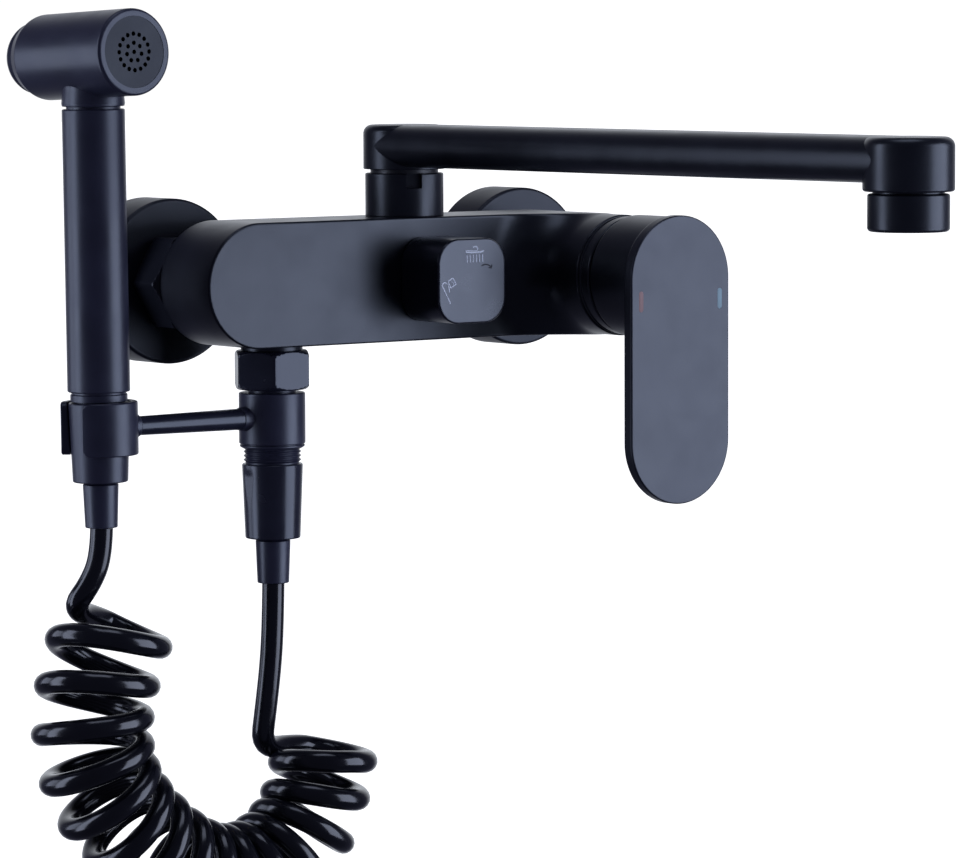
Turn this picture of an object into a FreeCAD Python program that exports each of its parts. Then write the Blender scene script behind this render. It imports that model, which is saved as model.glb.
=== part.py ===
"""Wall mounted bath faucet with a swivelling spout, a diverter knob and a hand sprayer on a curly hose.

Frame (mm): origin on the wall plane, midway between the two wall inlets and at their height.
+X to the right of the person who stands in front, +Y into the wall, +Z up.
Each function below returns the solids of one sub-assembly as a dictionary of node name to shape.
"""
import FreeCAD, Part
import math
import os

V = FreeCAD.Vector
X, Y, Z = V(1, 0, 0), V(0, 1, 0), V(0, 0, 1)
ORIGIN = V(0, 0, 0)

# ---- driving dimensions (mm, degrees) ----
INLET_SPACING = 150.0          # standard distance between the two wall inlets
G_HALF_R = 10.48               # outer radius of a G1/2 pipe thread
G_THREE_QUARTER_R = 13.2       # outer radius of a G3/4 pipe thread
FIT = 0.05                     # radial clearance of a running fit
WATER_R = 6.0                  # water bore of unions and nipples

ESCUTCHEON_R = 28.0
ESCUTCHEON_DEPTH = 17.0
ESCUTCHEON_WALL = 1.2

BODY_R = 21.0                  # half height of the body and radius of its ends
BODY_LEFT_X = -69.3            # centre of the left end
BODY_RIGHT_X = 64.4            # centre of the right end, which is also the lever's axis
BODY_BACK_Y = -32.0
BODY_FRONT_Y = -61.0
BOSS_R = 20.8
BOSS_FRONT_Y = -87.6
BOSS_BLEND_R = 18.0            # concave sweep from the flat front into the boss
BODY_EDGE_R = 0.8              # rounding of the body's outer edges

LEVER_PIVOT_Y = -76.0          # the lever's tilt axis
HUB_BACK_Y = -94.8
HUB_R = 21.0
PLATE_FRONT_Y = -118.0
PLATE_THICKNESS = 4.3
PLATE_R = 21.5                 # half width of the handle plate
PLATE_LOW_Z = -55.3            # centre of the plate's lower round end

KNOB_X = 2.65
KNOB_HALF = 14.3
KNOB_CORNER_R = 8.5
KNOB_BACK_Y = -61.5
KNOB_FRONT_Y = -82.4

SPOUT_X, SPOUT_Y = 1.0, -46.4  # swivel axis of the spout
COLLAR_R = 13.4
COLLAR_TOP_Z = 35.7
SPOUT_LOW_Z = 37.05
SPOUT_TOP_Z = 52.2
SPOUT_TUBE_Z = 45.1
SPOUT_TUBE_W = 28.0
SPOUT_TUBE_H = 14.3
SPOUT_LENGTH = 241.0
SPOUT_YAW = 3.2                # the spout's direction, from straight out towards +X
SPOUT_END_R = 14.2
SPOUT_OUTLET_Z = 35.4
AERATOR_R = 12.7
AERATOR_LOW_Z = 23.1

OUTLET_X, OUTLET_Y = -55.1, -46.6   # axis of the hose outlet and of the sprayer holder
OUTLET_NUT_AF = 24.0
TEE_R = 11.2
ARM_Z = -45.3
CLIP_R = 12.7

SPRAYER_X, SPRAYER_Y = -124.7, -47.1
SPRAYER_REF_Z = -44.9          # height at which the sprayer's leaning axis passes through SPRAYER_X
SPRAYER_LEAN = 0.67            # degrees, top towards -X
GRIP_R = 10.3
HEAD_Z = 77.1
HEAD_R = 14.15
HEAD_YAW = 2.0                 # the head's direction, from straight out towards +X
HEAD_PITCH = 2.4               # and upwards
HEAD_RIM = 2.2                 # rounding of the rim round the spray plate
SPRAY_PLATE_R = 11.6
HEAD_FRONT = 23.7              # front face ahead of the grip's axis
HEAD_BACK = 29.0               # back edge of the head's casing behind the grip's axis
BUTTON_BACK = 34.2

HOSE_R = 3.9
COIL_R = 20.5                  # outer radius of the curly stretch


# ---- small building blocks ----
def rod(base, axis, radius, length):
    """A solid cylinder from base along axis."""
    return Part.makeCylinder(radius, length, base, axis)


def turned(points, base, axis):
    """A solid of revolution: points are (radius, height) pairs along axis from base."""
    wire = Part.makePolygon([V(r, 0, h) for r, h in points] + [V(points[0][0], 0, points[0][1])])
    solid = Part.Face(wire).revolve(ORIGIN, Z, 360)
    solid.Placement = FreeCAD.Placement(base, FreeCAD.Rotation(Z, axis))
    return solid


def ring(base, axis, outer, inner, length):
    """A plain ring."""
    return turned([(inner, 0), (outer, 0), (outer, length), (inner, length)], base, axis)


def collar_ring(base, axis, outer, inner, length, bevel):
    """A ring whose two outer edges are bevelled."""
    return turned([(inner, 0), (outer - bevel, 0), (outer, bevel), (outer, length - bevel),
                   (outer - bevel, length), (inner, length)], base, axis)


def stadium_face(c1, c2, radius, across):
    """A face round both ends: c1 and c2 are the end centres, across is the unit vector over its width."""
    along = (c2 - c1).normalize()
    a, b = c1 + across * radius, c2 + across * radius
    c, d = c2 - across * radius, c1 - across * radius
    edges = [Part.LineSegment(a, b).toShape(), Part.Arc(b, c2 + along * radius, c).toShape(),
             Part.LineSegment(c, d).toShape(), Part.Arc(d, c1 - along * radius, a).toShape()]
    return Part.Face(Part.Wire(edges))


def hex_nut(base, axis, across_flats, inner, length, bevel):
    """A hexagonal nut with its corners turned down at both ends."""
    corner = across_flats / math.sqrt(3)
    points = [V(corner * math.cos(math.radians(60 * k)), corner * math.sin(math.radians(60 * k)), 0)
              for k in range(7)]
    blank = Part.Face(Part.makePolygon(points)).extrude(Z * length)
    blank.Placement = FreeCAD.Placement(base, FreeCAD.Rotation(Z, axis))
    turned_down = collar_ring(base, axis, corner + 0.05, inner, length, bevel)
    return blank.common(turned_down)


def rounded(shape, radius, wanted):
    """The shape with the edges for which wanted(edge) is true rounded by radius."""
    edges = [e for e in shape.Edges if wanted(e)]
    return shape.makeFillet(radius, edges) if edges else shape


def on_plane(edge, axis, value, tolerance=0.01):
    """True when an edge lies in the plane where the coordinate along axis is value."""
    box = edge.BoundBox
    low, high = {"x": (box.XMin, box.XMax), "y": (box.YMin, box.YMax), "z": (box.ZMin, box.ZMax)}[axis]
    return abs(low - value) < tolerance and abs(high - value) < tolerance


def one(shape):
    """The single solid in a boolean's result."""
    assert len(shape.Solids) == 1, len(shape.Solids)
    return shape.Solids[0]


# ---- wall side ----
NUT_BACK_Y, NUT_FRONT_Y = -18.0, -31.4
UNION_END_Y = -23.0
WASHER_T = 2.0
NIPPLE_R = 8.4


def wall_inlet(side, x):
    """One inlet: the union in the wall, its cover, the union nut and the nipple that the nut holds."""
    at = V(x, 0, 0)
    union = turned([(WATER_R, -14), (G_HALF_R, -14), (G_HALF_R, 0), (G_THREE_QUARTER_R - 0.1, 0),
                    (G_THREE_QUARTER_R - 0.1, -UNION_END_Y), (WATER_R, -UNION_END_Y)], at, -Y)
    cover = turned([(G_THREE_QUARTER_R + 0.1, ESCUTCHEON_DEPTH - ESCUTCHEON_WALL),
                    (ESCUTCHEON_R - ESCUTCHEON_WALL, ESCUTCHEON_DEPTH - ESCUTCHEON_WALL),
                    (ESCUTCHEON_R - ESCUTCHEON_WALL, 0), (ESCUTCHEON_R, 0),
                    (ESCUTCHEON_R, ESCUTCHEON_DEPTH - 1.0), (ESCUTCHEON_R - 0.7, ESCUTCHEON_DEPTH),
                    (G_THREE_QUARTER_R + 0.1, ESCUTCHEON_DEPTH)], at, -Y)
    nut = hex_nut(V(x, NUT_FRONT_Y, 0), Y, 30.0, NIPPLE_R + 0.2, NUT_BACK_Y - NUT_FRONT_Y, 1.4)
    nut = nut.cut(rod(V(x, -27.7, 0), Y, G_THREE_QUARTER_R, 10))
    flange_y = UNION_END_Y - WASHER_T
    nipple = turned([(WATER_R, 0), (12.4, 0), (12.4, 2.4), (NIPPLE_R, 2.4), (NIPPLE_R, 17), (WATER_R, 17)],
                    V(x, flange_y, 0), -Y)
    washer = ring(V(x, UNION_END_Y, 0), -Y, 12.2, WATER_R + 0.5, WASHER_T)
    return {"eccentric_union_" + side: union, "escutcheon_" + side: cover, "union_nut_" + side: one(nut),
            "inlet_nipple_" + side: nipple}, washer


def wall_inlets():
    """Both inlets; the two identical washers share one node."""
    parts, washers = {}, []
    for side, x in (("left", -INLET_SPACING / 2), ("right", INLET_SPACING / 2)):
        nodes, washer = wall_inlet(side, x)
        parts.update(nodes)
        washers.append(washer)
    parts["inlet_washers"] = Part.makeCompound(washers)
    return parts


# ---- body ----
POCKET_R = 17.2                # bore for the mixing cartridge
POCKET_FLOOR_Y = -52.0
MOUTH_R = 18.6                 # threaded mouth of the boss
MOUTH_Y = -83.6
DIVERTER_R = 12.0              # bore for the diverter
DIVERTER_FLOOR_Y = -44.0
SEAT_R = 8.0                   # thread radius of the spout nipple and the outlet nipple
SEAT_DEPTH = 7.0
NIPPLE_SOCKET_Y = -42.0        # bottom of the inlet nipples' sockets
PORT_X, PORT_Z = 5.5, 4.5      # hot and cold ports, from the lever's axis
MIXED_Z = -6.0                 # mixed port, from the lever's axis


def body_blank():
    """The outer form: a stadium, and a boss at its right end that the front sweeps into."""
    tall = stadium_face(V(BODY_LEFT_X, BODY_BACK_Y, 0), V(BODY_RIGHT_X, BODY_BACK_Y, 0), BODY_R, Z)
    outline = tall.extrude(-Y * (BODY_BACK_Y - BOSS_FRONT_Y))
    slab = tall.extrude(-Y * (BODY_BACK_Y - BODY_FRONT_Y))
    slab = rounded(slab, BODY_EDGE_R, lambda e: on_plane(e, "y", BODY_BACK_Y))
    rise = BODY_FRONT_Y - BOSS_FRONT_Y
    corner = V(BOSS_R + BOSS_BLEND_R * (1 - math.sqrt(0.5)), 0, BOSS_BLEND_R * (1 - math.sqrt(0.5)))
    top = V(BOSS_R, 0, BOSS_BLEND_R)
    foot = V(BOSS_R + BOSS_BLEND_R, 0, 0)
    edges = [Part.Arc(foot, corner, top).toShape(), Part.LineSegment(top, V(BOSS_R, 0, rise - 0.7)).toShape(),
             Part.LineSegment(V(BOSS_R, 0, rise - 0.7), V(BOSS_R - 0.7, 0, rise)).toShape(),
             Part.LineSegment(V(BOSS_R - 0.7, 0, rise), V(0, 0, rise)).toShape(),
             Part.LineSegment(V(0, 0, rise), V(0, 0, -2)).toShape(),
             Part.LineSegment(V(0, 0, -2), V(BOSS_R + BOSS_BLEND_R, 0, -2)).toShape(),
             Part.LineSegment(V(BOSS_R + BOSS_BLEND_R, 0, -2), foot).toShape()]
    boss = Part.Face(Part.Wire(edges)).revolve(ORIGIN, Z, 360)
    boss.Placement = FreeCAD.Placement(V(BODY_RIGHT_X, BODY_FRONT_Y, 0), FreeCAD.Rotation(Z, -Y))
    return one(slab.fuse(boss.common(outline)).removeSplitter())


def waterways():
    """The bores inside the body: sockets, the hot and mixed channels, and the ports between them."""
    lever = V(BODY_RIGHT_X, 0, 0)
    hot_y, hot_z, hot_r = -37.0, 9.0, 3.5
    port_r = 3.0
    bores = [
        rod(lever + Y * BOSS_FRONT_Y, Y, POCKET_R, POCKET_FLOOR_Y - BOSS_FRONT_Y),
        rod(lever + Y * (BOSS_FRONT_Y - 1), Y, MOUTH_R, MOUTH_Y - BOSS_FRONT_Y + 1),
        rod(V(KNOB_X, BODY_FRONT_Y - 1, 0), Y, DIVERTER_R, DIVERTER_FLOOR_Y - BODY_FRONT_Y + 1),
        rod(V(-INLET_SPACING / 2, hot_y, hot_z), X, hot_r, BODY_RIGHT_X - 4.0 + INLET_SPACING / 2),
        rod(V(BODY_RIGHT_X - PORT_X, POCKET_FLOOR_Y - 1, PORT_Z), Y, port_r, 16),
        rod(V(BODY_RIGHT_X + PORT_X, POCKET_FLOOR_Y - 1, PORT_Z), Y, port_r, 13),
        rod(V(BODY_RIGHT_X, POCKET_FLOOR_Y - 1, MIXED_Z), Y, port_r, 8),
        rod(V(KNOB_X, -46.5, -7.0), X, port_r, BODY_RIGHT_X - KNOB_X),
        rod(V(SPOUT_X, SPOUT_Y, 5), Z, 4.5, BODY_R),
        rod(V(SPOUT_X, SPOUT_Y, BODY_R - SEAT_DEPTH), Z, SEAT_R, SEAT_DEPTH + 1),
        rod(V(OUTLET_X, -50.0, -6.0), X, port_r, KNOB_X - OUTLET_X),
        rod(V(OUTLET_X, OUTLET_Y, -BODY_R), Z, 5.0, BODY_R - 3.0),
        rod(V(OUTLET_X, OUTLET_Y, -BODY_R - 1), Z, SEAT_R, SEAT_DEPTH + 1)]
    bores += [rod(V(s * INLET_SPACING / 2, NIPPLE_SOCKET_Y, 0), Y, NIPPLE_R, BODY_BACK_Y - NIPPLE_SOCKET_Y + 1)
              for s in (-1, 1)]
    return bores


def body():
    """The casting with its waterways bored."""
    return {"faucet_body": one(body_blank().cut(waterways()))}


# ---- mixing cartridge and handle ----
BASE_T, DISC_T = 4.0, 3.0
STEM_HALF = 4.0
STEM_HALF_HEIGHT = 3.2
SLOT_HALF_HEIGHT = 7.6         # room in the carrier for the stem's tilt
TIP_R = 2.4                    # the lever's round tip, which moves the ceramic disc
CAP_R, CAP_FRONT_Y = 20.3, -93.2
STEM_FRONT_Y = -105.0
SCREW_Y, SCREW_R = -106.5, 2.0  # set screw that holds the handle on the stem


def three_ports(y, length):
    """The hot, cold and mixed ports as cutters through a plate that starts at y."""
    spots = ((-PORT_X, PORT_Z), (PORT_X, PORT_Z), (0.0, MIXED_Z))
    return [rod(V(BODY_RIGHT_X + dx, y + 1, dz), -Y, 2.4, length + 2) for dx, dz in spots]


def cartridge():
    """Fixed parts of the cartridge, its nut and its cover ring."""
    at = V(BODY_RIGHT_X, 0, 0)
    seals = ring(at + Y * POCKET_FLOOR_Y, -Y, 16.5, 14.0, 1.0)
    y = POCKET_FLOOR_Y - 1.0
    base = one(rod(at + Y * y, -Y, 17.0, BASE_T).cut(three_ports(y, BASE_T)))
    y -= BASE_T
    fixed = one(rod(at + Y * y, -Y, 13.5, DISC_T).cut(three_ports(y, DISC_T)))
    housing = turned([(14.0, 0), (17.0, 0), (17.0, 26.4), (9.0, 26.4), (9.0, 24.0), (15.0, 24.0), (15.0, 4.0),
                      (14.0, 4.0)], at + Y * y, -Y)
    nut = turned([(11.0, 0), (MOUTH_R - 0.1, 0), (MOUTH_R - 0.1, 5.0), (11.0, 5.0)], at + Y * MOUTH_Y, -Y)
    depth = BOSS_FRONT_Y - CAP_FRONT_Y
    cap = turned([(MOUTH_R, 0), (CAP_R, 0), (CAP_R, depth - 0.8), (CAP_R - 0.8, depth), (14.5, depth),
                  (14.5, depth - 1.5), (MOUTH_R, depth - 1.5)], at + Y * BOSS_FRONT_Y, -Y)
    disc_y = y - DISC_T - FIT
    moving = rod(at + Y * disc_y, -Y, 9.2, DISC_T)
    pocket = Part.makeBox(2 * TIP_R + 0.3, 1.6, 2 * TIP_R + 1.4)
    pocket.translate(V(BODY_RIGHT_X - TIP_R - 0.15, disc_y - DISC_T, -TIP_R - 0.7))
    moving = one(moving.cut(pocket))
    return {"cartridge_seals": seals, "cartridge_base": base, "fixed_ceramic_disc": fixed,
            "cartridge_housing": housing, "cartridge_nut": nut, "cartridge_cap": cap,
            "moving_ceramic_disc": moving}


def lever():
    """The turning carrier, the pin that the lever tilts on, and the lever itself."""
    at = V(BODY_RIGHT_X, 0, 0)
    carrier = turned([(0, -66), (14.9, -66), (14.9, -80.8), (8.95, -80.8), (8.95, -86.5), (0, -86.5)], at, Y)
    slot = Part.makeBox(2 * STEM_HALF + 0.2, 22.5, 2 * SLOT_HALF_HEIGHT,
                        V(BODY_RIGHT_X - STEM_HALF - 0.1, -87.5, -SLOT_HALF_HEIGHT))
    pin = rod(V(BODY_RIGHT_X - 12.0, LEVER_PIVOT_Y, 0), X, 1.5, 24.0)
    carrier = one(carrier.cut([slot, pin]))
    stem = Part.makeBox(2 * STEM_HALF, 38.5, 2 * STEM_HALF_HEIGHT,
                        V(BODY_RIGHT_X - STEM_HALF, STEM_FRONT_Y, -STEM_HALF_HEIGHT))
    tip = rod(V(BODY_RIGHT_X, -68.5, 0), Y, TIP_R, 6.4)
    pin_bore = rod(V(BODY_RIGHT_X - 12.0, LEVER_PIVOT_Y, 0), X, 1.5 + FIT, 24.0)
    stem = one(stem.fuse(tip).cut(pin_bore))
    return {"lever_carrier": carrier, "lever_pin": pin, "lever_stem": stem}


def handle():
    """The handle: a hollow hub and a long flat plate, with its set screw and the two temperature marks."""
    top, low = V(BODY_RIGHT_X, PLATE_FRONT_Y, 0), V(BODY_RIGHT_X, PLATE_FRONT_Y, PLATE_LOW_Z)
    plate = stadium_face(top, low, PLATE_R, X).extrude(Y * PLATE_THICKNESS)
    plate = plate.makeChamfer(0.35, [e for e in plate.Edges if on_plane(e, "y", PLATE_FRONT_Y)])
    plate_back = PLATE_FRONT_Y + PLATE_THICKNESS
    hub = turned([(0, 0), (HUB_R, 0), (HUB_R, HUB_BACK_Y - plate_back - 0.8), (HUB_R - 0.8, HUB_BACK_Y - plate_back),
                  (19.8, HUB_BACK_Y - plate_back), (19.8, 4.0), (0, 4.0)], V(BODY_RIGHT_X, plate_back, 0), Y)
    socket = rod(V(BODY_RIGHT_X, plate_back, 0), Y, 8.5, 10.5)
    stem_hole = Part.makeBox(2 * STEM_HALF, 20.0, 2 * STEM_HALF_HEIGHT,
                             V(BODY_RIGHT_X - STEM_HALF, STEM_FRONT_Y, -STEM_HALF_HEIGHT))
    screw_hole = rod(V(BODY_RIGHT_X, SCREW_Y, -STEM_HALF_HEIGHT), -Z, SCREW_R, 25)
    whole = plate.fuse([hub, socket]).removeSplitter().cut([stem_hole, screw_hole])
    whole = one(whole)
    screw = rod(V(BODY_RIGHT_X, SCREW_Y, -STEM_HALF_HEIGHT), -Z, SCREW_R, 5.0)
    screw = screw.cut(rod(V(BODY_RIGHT_X, SCREW_Y, -STEM_HALF_HEIGHT - 3.5), -Z, 1.0, 3.0))
    marks = {}
    for name, x in (("hot_mark", BODY_RIGHT_X - 16.4), ("cold_mark", BODY_RIGHT_X + 16.4)):
        bar = Part.makeBox(1.2, 0.5, 7.0, V(x - 0.6, PLATE_FRONT_Y - 0.1, -14.2))
        marks[name] = bar
    whole = one(whole.cut(list(marks.values())))
    return dict(marks, handle=whole, handle_set_screw=one(screw))


# ---- diverter ----
def knob_outline(y, half, corner):
    """A square face with round corners on the diverter's axis."""
    wire = Part.makePolygon([V(KNOB_X + sx * half, y, sz * half)
                             for sx, sz in ((-1, -1), (1, -1), (1, 1), (-1, 1), (-1, -1))])
    block = Part.Face(wire).extrude(-Y * (KNOB_BACK_Y - KNOB_FRONT_Y))
    upright = [e for e in block.Edges if e.BoundBox.YLength > 1]
    return block.makeFillet(corner, upright)


def bar_between(x0, z0, x1, z1, width):
    """A thin raised bar on the knob's face, from one point to another."""
    a, b = V(x0, 0, z0), V(x1, 0, z1)
    face = stadium_face(a, b, width / 2, (b - a).cross(Y).normalize())
    bar = face.extrude(-Y * 0.15)
    bar.translate(V(KNOB_X, KNOB_FRONT_Y, 0))
    return bar


def knob_icons():
    """Two plain pictograms: a bath spout with falling water at the top, a hand shower at the left."""
    width = 0.45
    bars = [bar_between(-3.6, 9.6, 3.6, 9.6, width)]
    bars += [bar_between(x, 8.6, x, 5.4, width) for x in (-2.8, -1.4, 0.0, 1.4, 2.8)]
    bars.append(bar_between(0.2, 11.4, 2.2, 10.6, width))
    bars += [bar_between(-12.2, -0.4, -9.6, -7.0, width), bar_between(-11.4, 0.6, -8.6, 0.9, width),
             bar_between(-8.0, 1.6, -6.6, -1.4, width), bar_between(-10.6, -1.8, -7.8, -2.6, width)]
    return Part.makeCompound(bars)


def diverter():
    """Seat, housing, nut, rotor and stem of the diverter, and its knob."""
    at = V(KNOB_X, 0, 0)
    y = DIVERTER_FLOOR_Y
    ports = [rod(V(KNOB_X, y + 1, 0) + V(dx, 0, dz), -Y, 2.2, 5) for dx, dz in ((0, 6.5), (-5.6, -3.3), (5.6, -3.3))]
    seat = one(rod(at + Y * y, -Y, 11.8, 2.5).cut(ports))
    housing = turned([(10.0, 0), (11.8, 0), (11.8, 11.0), (5.0 + FIT, 11.0), (5.0 + FIT, 8.0), (10.0, 8.0)],
                     at + Y * (y - 2.5), -Y)
    nut = turned([(6.0, 0), (11.9, 0), (11.9, 3.3), (6.0, 3.3)], at + Y * (y - 13.5), -Y)
    rotor = rod(at + Y * (y - 2.5 - FIT), -Y, 9.5, 3.0)
    rotor = one(rotor.cut(rod(V(KNOB_X, y - 2, 5.8), -Y, 2.6, 5)))
    stem_start = y - 5.5 - FIT
    stem = rod(at + Y * stem_start, -Y, 5.0, stem_start + 74.0)
    block = knob_outline(KNOB_BACK_Y, KNOB_HALF, KNOB_CORNER_R)
    block = block.makeChamfer(0.5, [e for e in block.Edges if on_plane(e, "y", KNOB_FRONT_Y)])
    screw_at = V(KNOB_X, -68.5, -5.0)
    screw = rod(screw_at, -Z, 1.5, 5.0)
    cavity = ring(at + Y * (KNOB_BACK_Y + 1), -Y, 12.0, 8.0, 15.0)
    block = one(block.cut([stem, rod(screw_at + Z * 2.5, -Z, 1.5, 14.5), cavity]))
    return {"diverter_seat": seat, "diverter_housing": housing, "diverter_nut": nut, "diverter_rotor": rotor,
            "diverter_stem": stem, "diverter_knob": block, "knob_set_screw": screw, "knob_icons": knob_icons()}


# ---- spout ----
NIPPLE_TUBE_R = 8.6


def spout_seat():
    """What the spout turns on: nipple, seal rings, washer and slotted collar."""
    at = V(SPOUT_X, SPOUT_Y, 0)
    bore = 5.0
    grooves = (40.0, 45.0)
    points = [(bore, BODY_R - SEAT_DEPTH), (SEAT_R, BODY_R - SEAT_DEPTH), (SEAT_R, BODY_R), (NIPPLE_TUBE_R, BODY_R)]
    for g in grooves:
        points += [(NIPPLE_TUBE_R, g), (NIPPLE_TUBE_R - 1.4, g), (NIPPLE_TUBE_R - 1.4, g + 2), (NIPPLE_TUBE_R, g + 2)]
    points += [(NIPPLE_TUBE_R, 49.0), (bore, 49.0)]
    nipple = turned(points, at, Z)
    rings = [ring(at + Z * g, Z, NIPPLE_TUBE_R, NIPPLE_TUBE_R - 1.4, 2.0) for g in grooves]
    collar = collar_ring(at + Z * BODY_R, Z, COLLAR_R, NIPPLE_TUBE_R, COLLAR_TOP_Z - BODY_R, 0.4)
    notch_turn = FreeCAD.Rotation(Z, -22.0)
    notch = Part.makeBox(5.6, 3.0, 5.2, V(-2.8, -COLLAR_R - 1.0, COLLAR_TOP_Z - 5.0))
    notch.Placement = FreeCAD.Placement(at, notch_turn)
    collar = one(collar.cut(notch))
    washer = ring(at + Z * COLLAR_TOP_Z, Z, 11.6, NIPPLE_TUBE_R, SPOUT_LOW_Z - 0.05 - COLLAR_TOP_Z)
    return {"spout_nipple": nipple, "spout_orings": Part.makeCompound(rings), "spout_collar": collar,
            "spout_washer": washer}


def spout_arm():
    """The swivelling spout, built along -Y from its axis and then turned to its direction."""
    at, end = V(0, 0, 0), V(0, -SPOUT_LENGTH, 0)
    round_top = 3.0
    upright = rod(at + Z * SPOUT_LOW_Z, Z, 14.0, SPOUT_TOP_Z - SPOUT_LOW_Z)
    upright = rounded(upright, round_top, lambda e: on_plane(e, "z", SPOUT_TOP_Z))
    outlet = rod(end + Z * SPOUT_OUTLET_Z, Z, SPOUT_END_R, SPOUT_TOP_Z - SPOUT_OUTLET_Z)
    outlet = rounded(outlet, round_top, lambda e: on_plane(e, "z", SPOUT_TOP_Z))
    outlet = rounded(outlet, 0.8, lambda e: on_plane(e, "z", SPOUT_OUTLET_Z))
    half = SPOUT_TUBE_W / 2 - SPOUT_TUBE_H / 2
    section = stadium_face(V(-half, 0, SPOUT_TUBE_Z), V(half, 0, SPOUT_TUBE_Z), SPOUT_TUBE_H / 2, Z)
    tube = section.extrude(-Y * SPOUT_LENGTH)
    outside = upright.fuse([outlet, tube])
    inner = stadium_face(V(-half, 0, SPOUT_TUBE_Z), V(half, 0, SPOUT_TUBE_Z), SPOUT_TUBE_H / 2 - 1.6, Z)
    hollow = inner.extrude(-Y * SPOUT_LENGTH)
    socket = rod(at + Z * (SPOUT_LOW_Z - 1), Z, NIPPLE_TUBE_R + FIT, 50.5 - SPOUT_LOW_Z + 1)
    mouth = rod(end + Z * (SPOUT_OUTLET_Z - 1), Z, 11.2, 45.0 - SPOUT_OUTLET_Z)
    spout = one(outside.cut([hollow, socket, mouth]))
    housing = turned([(9.5, 23.9), (9.9, AERATOR_LOW_Z), (AERATOR_R - 1.4, AERATOR_LOW_Z),
                      (AERATOR_R, AERATOR_LOW_Z + 1.4), (AERATOR_R, 34.0), (AERATOR_R - 0.6, 34.6), (11.1, 34.9),
                      (11.1, 41.0), (9.5, 41.0)], end, Z)
    insert_disc = rod(end + Z * 25.0, Z, 9.4, 7.0)
    jets = [rod(V(r * math.cos(a), r * math.sin(a) - SPOUT_LENGTH, 24), Z, 0.7, 9)
            for r, n in ((2.6, 6), (5.2, 12), (7.6, 18)) for a in [2 * math.pi * k / n for k in range(n)]]
    insert_disc = one(insert_disc.cut(jets))
    washer = ring(end + Z * 41.0, Z, 11.0, 8.5, 1.8)
    parts = {"spout": spout, "aerator_housing": housing, "aerator_insert": insert_disc, "aerator_washer": washer}
    place = FreeCAD.Placement(V(SPOUT_X, SPOUT_Y, 0), FreeCAD.Rotation(Z, SPOUT_YAW))
    for shape in parts.values():
        shape.Placement = place.multiply(shape.Placement)
    return parts


# ---- hose outlet and sprayer holder ----
OUTLET_NUT_TOP_Z, OUTLET_NUT_LOW_Z = -22.6, -35.7
TEE_TOP_Z, TEE_LOW_Z = -36.8, -54.0


def hose_outlet():
    """The threaded outlet under the body, its washer, and the nut that carries the holder."""
    at = V(OUTLET_X, OUTLET_Y, 0)
    nipple = turned([(4.5, -BODY_R + SEAT_DEPTH), (SEAT_R, -BODY_R + SEAT_DEPTH), (SEAT_R, -BODY_R),
                     (10.4, -BODY_R), (10.4, -22.4), (9.8, -22.4), (9.8, -29.5), (4.5, -29.5)], at, Z)
    washer = ring(at - Z * 29.5, -Z, 9.6, 4.5, 1.4)
    nut = hex_nut(at + Z * OUTLET_NUT_LOW_Z, Z, OUTLET_NUT_AF, 8.0 + FIT, OUTLET_NUT_TOP_Z - OUTLET_NUT_LOW_Z, 1.6)
    nut = one(nut.cut(rod(at - Z * 32.5, Z, 9.85, 11)))
    return {"outlet_nipple": nipple, "outlet_washer": washer, "outlet_nut": nut}


def sprayer_place():
    """Placement of everything built upright on the sprayer's own axis."""
    lean = FreeCAD.Rotation(Y, -SPRAYER_LEAN)
    foot = V(SPRAYER_X, SPRAYER_Y, SPRAYER_REF_Z)
    return FreeCAD.Placement(foot, lean).multiply(FreeCAD.Placement(V(0, 0, -SPRAYER_REF_Z), FreeCAD.Rotation()))


def placed(shape):
    """The shape moved onto the sprayer's axis."""
    shape.Placement = sprayer_place().multiply(shape.Placement)
    return shape


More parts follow.
